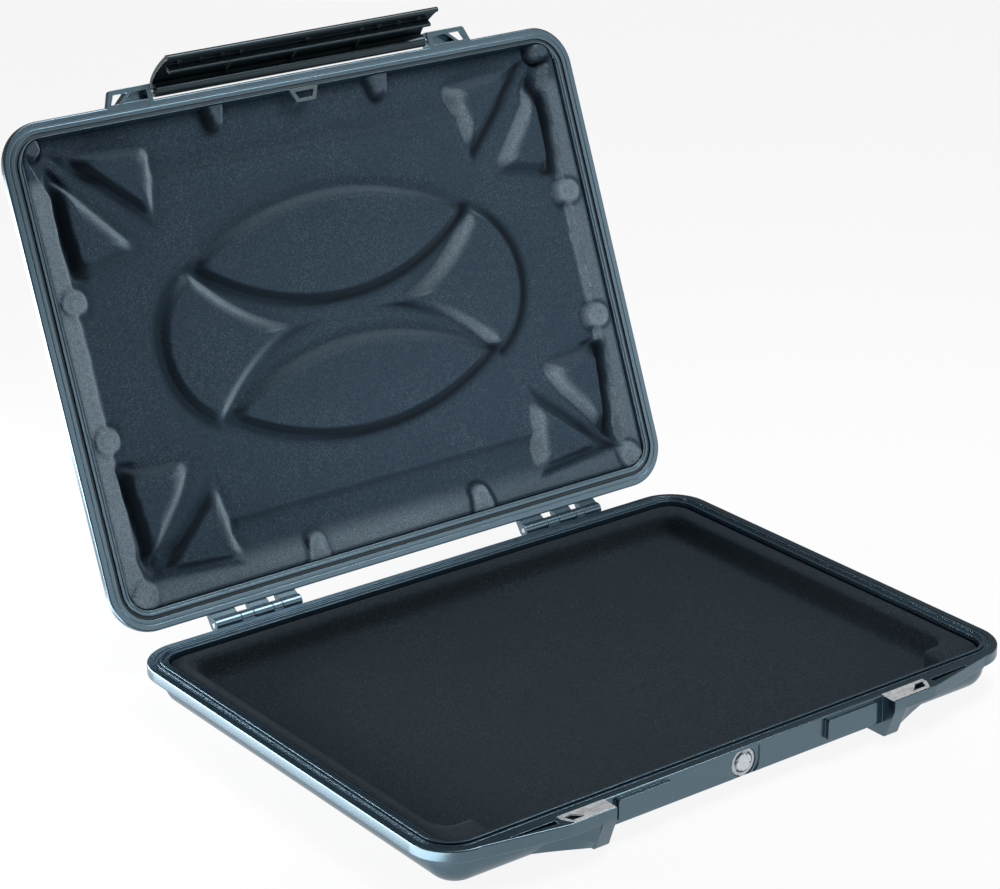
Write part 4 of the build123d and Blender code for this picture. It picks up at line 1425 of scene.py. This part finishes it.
# ------------------------------------------------------------------ the base's foam
@dataclass(frozen=True)
class BaseFoam:
    """Foam tray of the base, with soft edges and a slightly uneven skin.

    Attributes:
        voxel: Size of the cells that the CAD solid is rebuilt from.
        smoothing: How many times its edges are softened.
        softness: How much each time.
        unevenness: How far the skin sinks in where it sinks in most.
        sunk: How far it sinks in between the waves, and what each adds, as shares of that.
        waves: Radians per metre of the wave across the tray and of the two along it.
        wave_shift: Shift of the first wave along, in radians.
    """

    voxel: float = 0.0024
    smoothing: int = 5
    softness: float = 0.5
    unevenness: float = 0.00025
    sunk: tuple[float, float] = (0.5, 0.25)
    waves: tuple[float, float, float] = (61.0, 83.0, 37.0)
    wave_shift: float = 1.3

    def build(self, source: bpy.types.Object) -> bpy.types.Object:
        """Makes the tray from its CAD solid.

        Args:
            source: The CAD node with the tray's true shape.

        Returns:
            The new piece.
        """
        piece = bpy.data.objects.new("base_foam_tray", source.data.copy())
        bpy.context.scene.collection.objects.link(piece)
        remesh = piece.modifiers.new("cells", "REMESH")
        remesh.mode = "VOXEL"
        remesh.voxel_size = self.voxel
        soften = piece.modifiers.new("soften", "SMOOTH")
        soften.iterations = self.smoothing
        soften.factor = self.softness
        apply_modifiers(piece)
        mesh = piece.data
        places, normals = (np.zeros(len(mesh.vertices) * 3, np.float32) for _ in range(2))
        mesh.vertices.foreach_get("co", places)
        mesh.vertices.foreach_get("normal", normals)
        places, normals = places.reshape(-1, 3), normals.reshape(-1, 3)
        x, y = places[:, 0], places[:, 1]
        aside, along, slow = self.waves
        waves = np.sin(x * aside) * np.sin(y * along + self.wave_shift) + np.sin(y * slow)
        places = places - normals * (self.unevenness * (self.sunk[0] + self.sunk[1] * waves))[:, None]
        mesh.vertices.foreach_set("co", places.astype(np.float32).ravel())
        mesh.shade_smooth()
        mesh.update()
        return piece


# ------------------------------------------------------------------ the studio
@dataclass(frozen=True)
class SoftLight:
    """One soft lamp, hidden from the camera.

    Attributes:
        name: The lamp's name.
        place: Where it stands.
        target: What it points at.
        size: Its width and height.
        watts: Its power.
        seen_in_gloss: Whether reflections show it.
    """

    name: str
    place: Place
    target: Place
    size: tuple[float, float]
    watts: float
    seen_in_gloss: bool = True

    def build(self) -> None:
        """Adds the lamp."""
        data = bpy.data.lights.new(self.name, "AREA")
        data.shape = "RECTANGLE"
        data.size, data.size_y = self.size
        data.energy = self.watts
        lamp = bpy.data.objects.new(self.name, data)
        bpy.context.scene.collection.objects.link(lamp)
        lamp.location = self.place
        lamp.rotation_mode = "QUATERNION"
        lamp.rotation_quaternion = (Vector(self.target) - Vector(self.place)).to_track_quat("-Z", "Y")
        lamp.visible_camera = False
        lamp.visible_glossy = self.seen_in_gloss


@dataclass(frozen=True)
class Studio:
    """Pale floor, white surroundings, soft lamps and the camera.

    Attributes:
        azimuth: Degrees by which the camera stands round from the front, negative to the left.
        elevation: Degrees by which it looks down.
        roll: Degrees by which it leans.
        place: Where it stands.
        focal_mm: Its focal length.
        sensor_mm: Its sensor's width.
        clip: Nearest and furthest distance that it sees.
        surround: Strength of the light from all round.
        surround_in_gloss: Strength of the surroundings in reflections.
        floor_reach: How far the floor reaches to each side.
        floor_colour: The floor's colour.
        floor_white: How far the camera sees the floor as plain white.
        lights: The lamps.
    """

    azimuth: float = -37.0586
    elevation: float = 21.5426
    roll: float = -0.4255
    place: Place = (-1.02817, -1.28833, 0.81344)
    focal_mm: float = 107.62
    sensor_mm: float = 36.0
    clip: Span = (0.05, 50.0)
    surround: float = 0.10
    surround_in_gloss: float = 0.13
    floor_reach: float = 9.0
    floor_colour: Colour = (0.85, 0.86, 0.87)
    floor_white: float = 0.9
    lights: tuple[SoftLight, ...] = (
        SoftLight("key_softbox", (0.36, -0.12, 0.92), (0.04, 0.16, 0.10), (0.50, 0.40), 5.8),
        SoftLight("overhead_softbox", (0.35, -0.15, 1.50), (0.0, 0.0, 0.05), (1.2, 0.9), 5.0),
        SoftLight("front_right_card", (0.95, -1.20, 0.55), (0.0, 0.05, 0.12), (1.3, 0.8), 4.4),
        SoftLight("back_left_panel", (-0.56, 0.38, 0.10), (-0.20, 0.02, 0.03), (0.8, 0.18), 9.0),
        SoftLight("left_floor_card", (-0.285, 0.03, 0.004), (-0.285, 0.03, 1.0), (0.09, 0.52), 0.75),
        SoftLight("pocket_bounce", (0.06, 0.0, 0.035), (0.06, 0.0, 1.0), (0.32, 0.24), 1.3, False),
    )

    def camera(self) -> None:
        """Adds the camera and makes it the scene's own."""
        data = bpy.data.cameras.new("camera")
        data.lens = self.focal_mm
        data.sensor_width = self.sensor_mm
        data.clip_start, data.clip_end = self.clip
        azimuth, elevation, roll = (math.radians(a) for a in (self.azimuth, self.elevation, self.roll))
        level = math.cos(elevation)
        back = Vector((math.sin(azimuth) * level, -math.cos(azimuth) * level, math.sin(elevation)))
        right = (-back).cross(Vector((0.0, 0.0, 1.0))).normalized()
        upward = right.cross(-back)
        turned_right = right * math.cos(roll) + upward * math.sin(roll)
        turned_up = upward * math.cos(roll) - right * math.sin(roll)
        camera = bpy.data.objects.new("camera", data)
        bpy.context.scene.collection.objects.link(camera)
        axes = Matrix((turned_right, turned_up, back)).transposed().to_4x4()
        camera.matrix_world = Matrix.Translation(self.place) @ axes
        bpy.context.scene.camera = camera

    def seen(self, tree: NodeTree, in_gloss: float = 1.0) -> Socket:
        """Tells rays that show the surroundings from rays that light the case.

        Args:
            tree: The tree to add to.
            in_gloss: The value for rays from gloss.

        Returns:
            1 for rays from the camera or through glass, that value for rays from gloss, and 0 for others.
        """
        path = tree.add("ShaderNodeLightPath")
        gloss = tree.maths("MULTIPLY", path.outputs["Is Glossy Ray"], in_gloss)
        first = tree.maths("MAXIMUM", path.outputs["Is Camera Ray"], gloss)
        return tree.maths("MAXIMUM", first, path.outputs["Is Transmission Ray"])

    def world(self) -> None:
        """White surroundings that the camera sees in full and that light the case softly."""
        world = bpy.data.worlds.new("surroundings")
        world.use_nodes = True
        tree = NodeTree(world.node_tree)
        sky = tree.add("ShaderNodeBackground")
        sky.inputs["Color"].default_value = (1.0, 1.0, 1.0, 1.0)
        strength = tree.maths("MAXIMUM", self.seen(tree, self.surround_in_gloss), self.surround)
        tree.link(strength, sky.inputs["Strength"])
        tree.link(sky.outputs[0], tree.add("ShaderNodeOutputWorld").inputs[0])
        bpy.context.scene.world = world

    def floor(self) -> None:
        """Adds a wide pale floor that keeps the case's shadow."""
        square = ((-1, -1), (1, -1), (1, 1), (-1, 1))
        corners = np.array([(x * self.floor_reach, y * self.floor_reach, 0.0) for x, y in square])
        floor = mesh_object("studio_floor", corners, [(0, 1, 2, 3)])
        material = bpy.data.materials.new("pale_floor")
        material.use_nodes = True
        tree = NodeTree(material.node_tree)
        matt = tree.add("ShaderNodeBsdfDiffuse")
        matt.inputs["Color"].default_value = opaque(self.floor_colour)
        white = tree.add("ShaderNodeEmission")
        mix = tree.add("ShaderNodeMixShader")
        tree.link(tree.maths("MULTIPLY", self.seen(tree), self.floor_white), mix.inputs[0])
        tree.link(matt.outputs[0], mix.inputs[1])
        tree.link(white.outputs[0], mix.inputs[2])
        tree.link(mix.outputs[0], tree.add("ShaderNodeOutputMaterial").inputs[0])
        floor.data.materials.append(material)
        floor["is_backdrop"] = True

    def build(self) -> None:
        """Sets the whole studio up."""
        bpy.context.scene.view_settings.view_transform = "Standard"
        self.camera()
        self.world()
        self.floor()
        for light in self.lights:
            light.build()


# ------------------------------------------------------------------ the case
@dataclass
class LaptopCase:
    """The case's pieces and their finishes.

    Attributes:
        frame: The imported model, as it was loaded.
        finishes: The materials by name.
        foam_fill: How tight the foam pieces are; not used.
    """

    frame: dict
    finishes: dict[str, bpy.types.Material] = field(init=False)
    foam_fill: float = 0.9

    def prepare(self) -> None:
        """Builds every finish once."""
        cool, chrome, soot = (0.54, 0.82, 1.0), (0.95, 0.97, 1.0), (0.012, 0.013, 0.015)
        # Radius and half width of the ring of painted groove shade round the vent cap.
        vent_ring = (0.0061, 0.0007)
        recipes = (
            MouldedPlastic("shell_satin", (0.007, 0.015, 0.022), index=1.84, shine=0.95, glint=cool),
            # The latch flap: a darker copy of the shell's plastic, as painted shade.
            MouldedPlastic("flap_satin_painted_shade", (0.0035, 0.0060, 0.0075), edge_wear_highlight=(0.07, 0.09, 0.10), shine=0.5),
            MouldedPlastic("loop_grey", (0.055, 0.075, 0.078), edge_radius=0.0002),
            MouldedPlastic("vent_silver", (0.90, 0.94, 0.98), Gloss.POLISHED, chrome, 0.00025, shine=0.5),
            MouldedPlastic("vent_ring", (0.78, 0.82, 0.86), Gloss.POLISHED, chrome, 0.0003, ring=vent_ring),
            MouldedPlastic("vent_black", soot, Gloss.TEXTURED, edge_radius=0.0002),
            MouldedPlastic("seal_rubber", soot, Gloss.TEXTURED, (0.03, 0.03, 0.03), 0.0002),
            MouldedPlastic("membrane_film", (0.75, 0.76, 0.78), Gloss.TEXTURED, (0.8, 0.8, 0.8), 0.0001),
            LinerFoam("liner_foam"),
            # The base's tray: a darker copy of the lid's foam, as painted shade for the pocket.
            LinerFoam("tray_foam_painted_shade", (0.016, 0.025, 0.033), (0.007, 0.011, 0.016), (0.045, 0.060, 0.072)),
            BrushedSteel("pin_steel"),
            BrushedSteel("plate_steel", (0.90, 0.91, 0.92), 0.42, 2600.0),
        )
        self.finishes = {recipe.name: recipe.material() for recipe in recipes}

    def dress(self, node: str, finish: str) -> None:
        """Gives a CAD node its finish.

        Args:
            node: The node's name.
            finish: The finish's name.
        """
        for holder in self.frame["nodes"][node].material_slots:
            holder.material = self.finishes[finish]
        LOG.info("%s dressed in %s", node, finish)

    def foam(self, piece: bpy.types.Object, body: str, node: str, finish: str) -> None:
        """Puts a foam piece in place of its CAD solid.

        Args:
            piece: The foam mesh.
            body: The body that it moves with.
            node: The CAD node that it stands for.
            finish: The foam's finish.
        """
        piece.data.materials.clear()
        piece.data.materials.append(self.finishes[finish])
        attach(piece, body)
        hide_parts(node)
        LOG.info("%s stands for %s, %d faces", piece.name, node, len(piece.data.polygons))

    def lid_turn(self) -> HingeTurn:
        """The turn from the closed to the open lid, from the lid's own joint."""
        hinge = next(joint for joint in self.frame["joints"] if joint["name"] == "lid_hinge")
        return HingeTurn(hinge["pos_m"][1], hinge["pos_m"][2], -hinge["range_deg"][1])

    def build(self) -> None:
        """Dresses the whole case."""
        self.prepare()
        for finish, nodes in (
            ("shell_satin", ("base_shell", "lid_shell")),
            ("flap_satin_painted_shade", ("latch_flap",)),
            ("loop_grey", ("liner_loop",)),
            ("seal_rubber", ("rim_seal", "vent_seal")),
            ("vent_ring", ("vent_body",)),
            ("vent_silver", ("vent_cap",)),
            ("vent_black", ("vent_nut",)),
            ("membrane_film", ("vent_membrane",)),
            ("pin_steel", ("hinge_pin_left", "hinge_pin_right", "latch_pin_left", "latch_pin_right")),
            ("plate_steel", ("padlock_plate_left", "padlock_plate_right")),
        ):
            for node in nodes:
                self.dress(node, finish)
        self.foam(LidFoam(self.lid_turn()).build(), "lid", "lid_liner", "liner_foam")
        self.foam(BaseFoam().build(self.frame["nodes"]["base_liner"]), "base", "base_liner", "tray_foam_painted_shade")


def corners() -> list[list[float]]:
    """Lowest and highest corner of what is shown."""
    return [list(corner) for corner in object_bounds()]


def main() -> None:
    """Loads the frame, dresses the case and lights it."""
    logging.basicConfig(level=logging.INFO, format="%(message)s")
    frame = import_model()
    Studio().build()
    LaptopCase(frame).build()


if __name__ == "__main__":
    main()
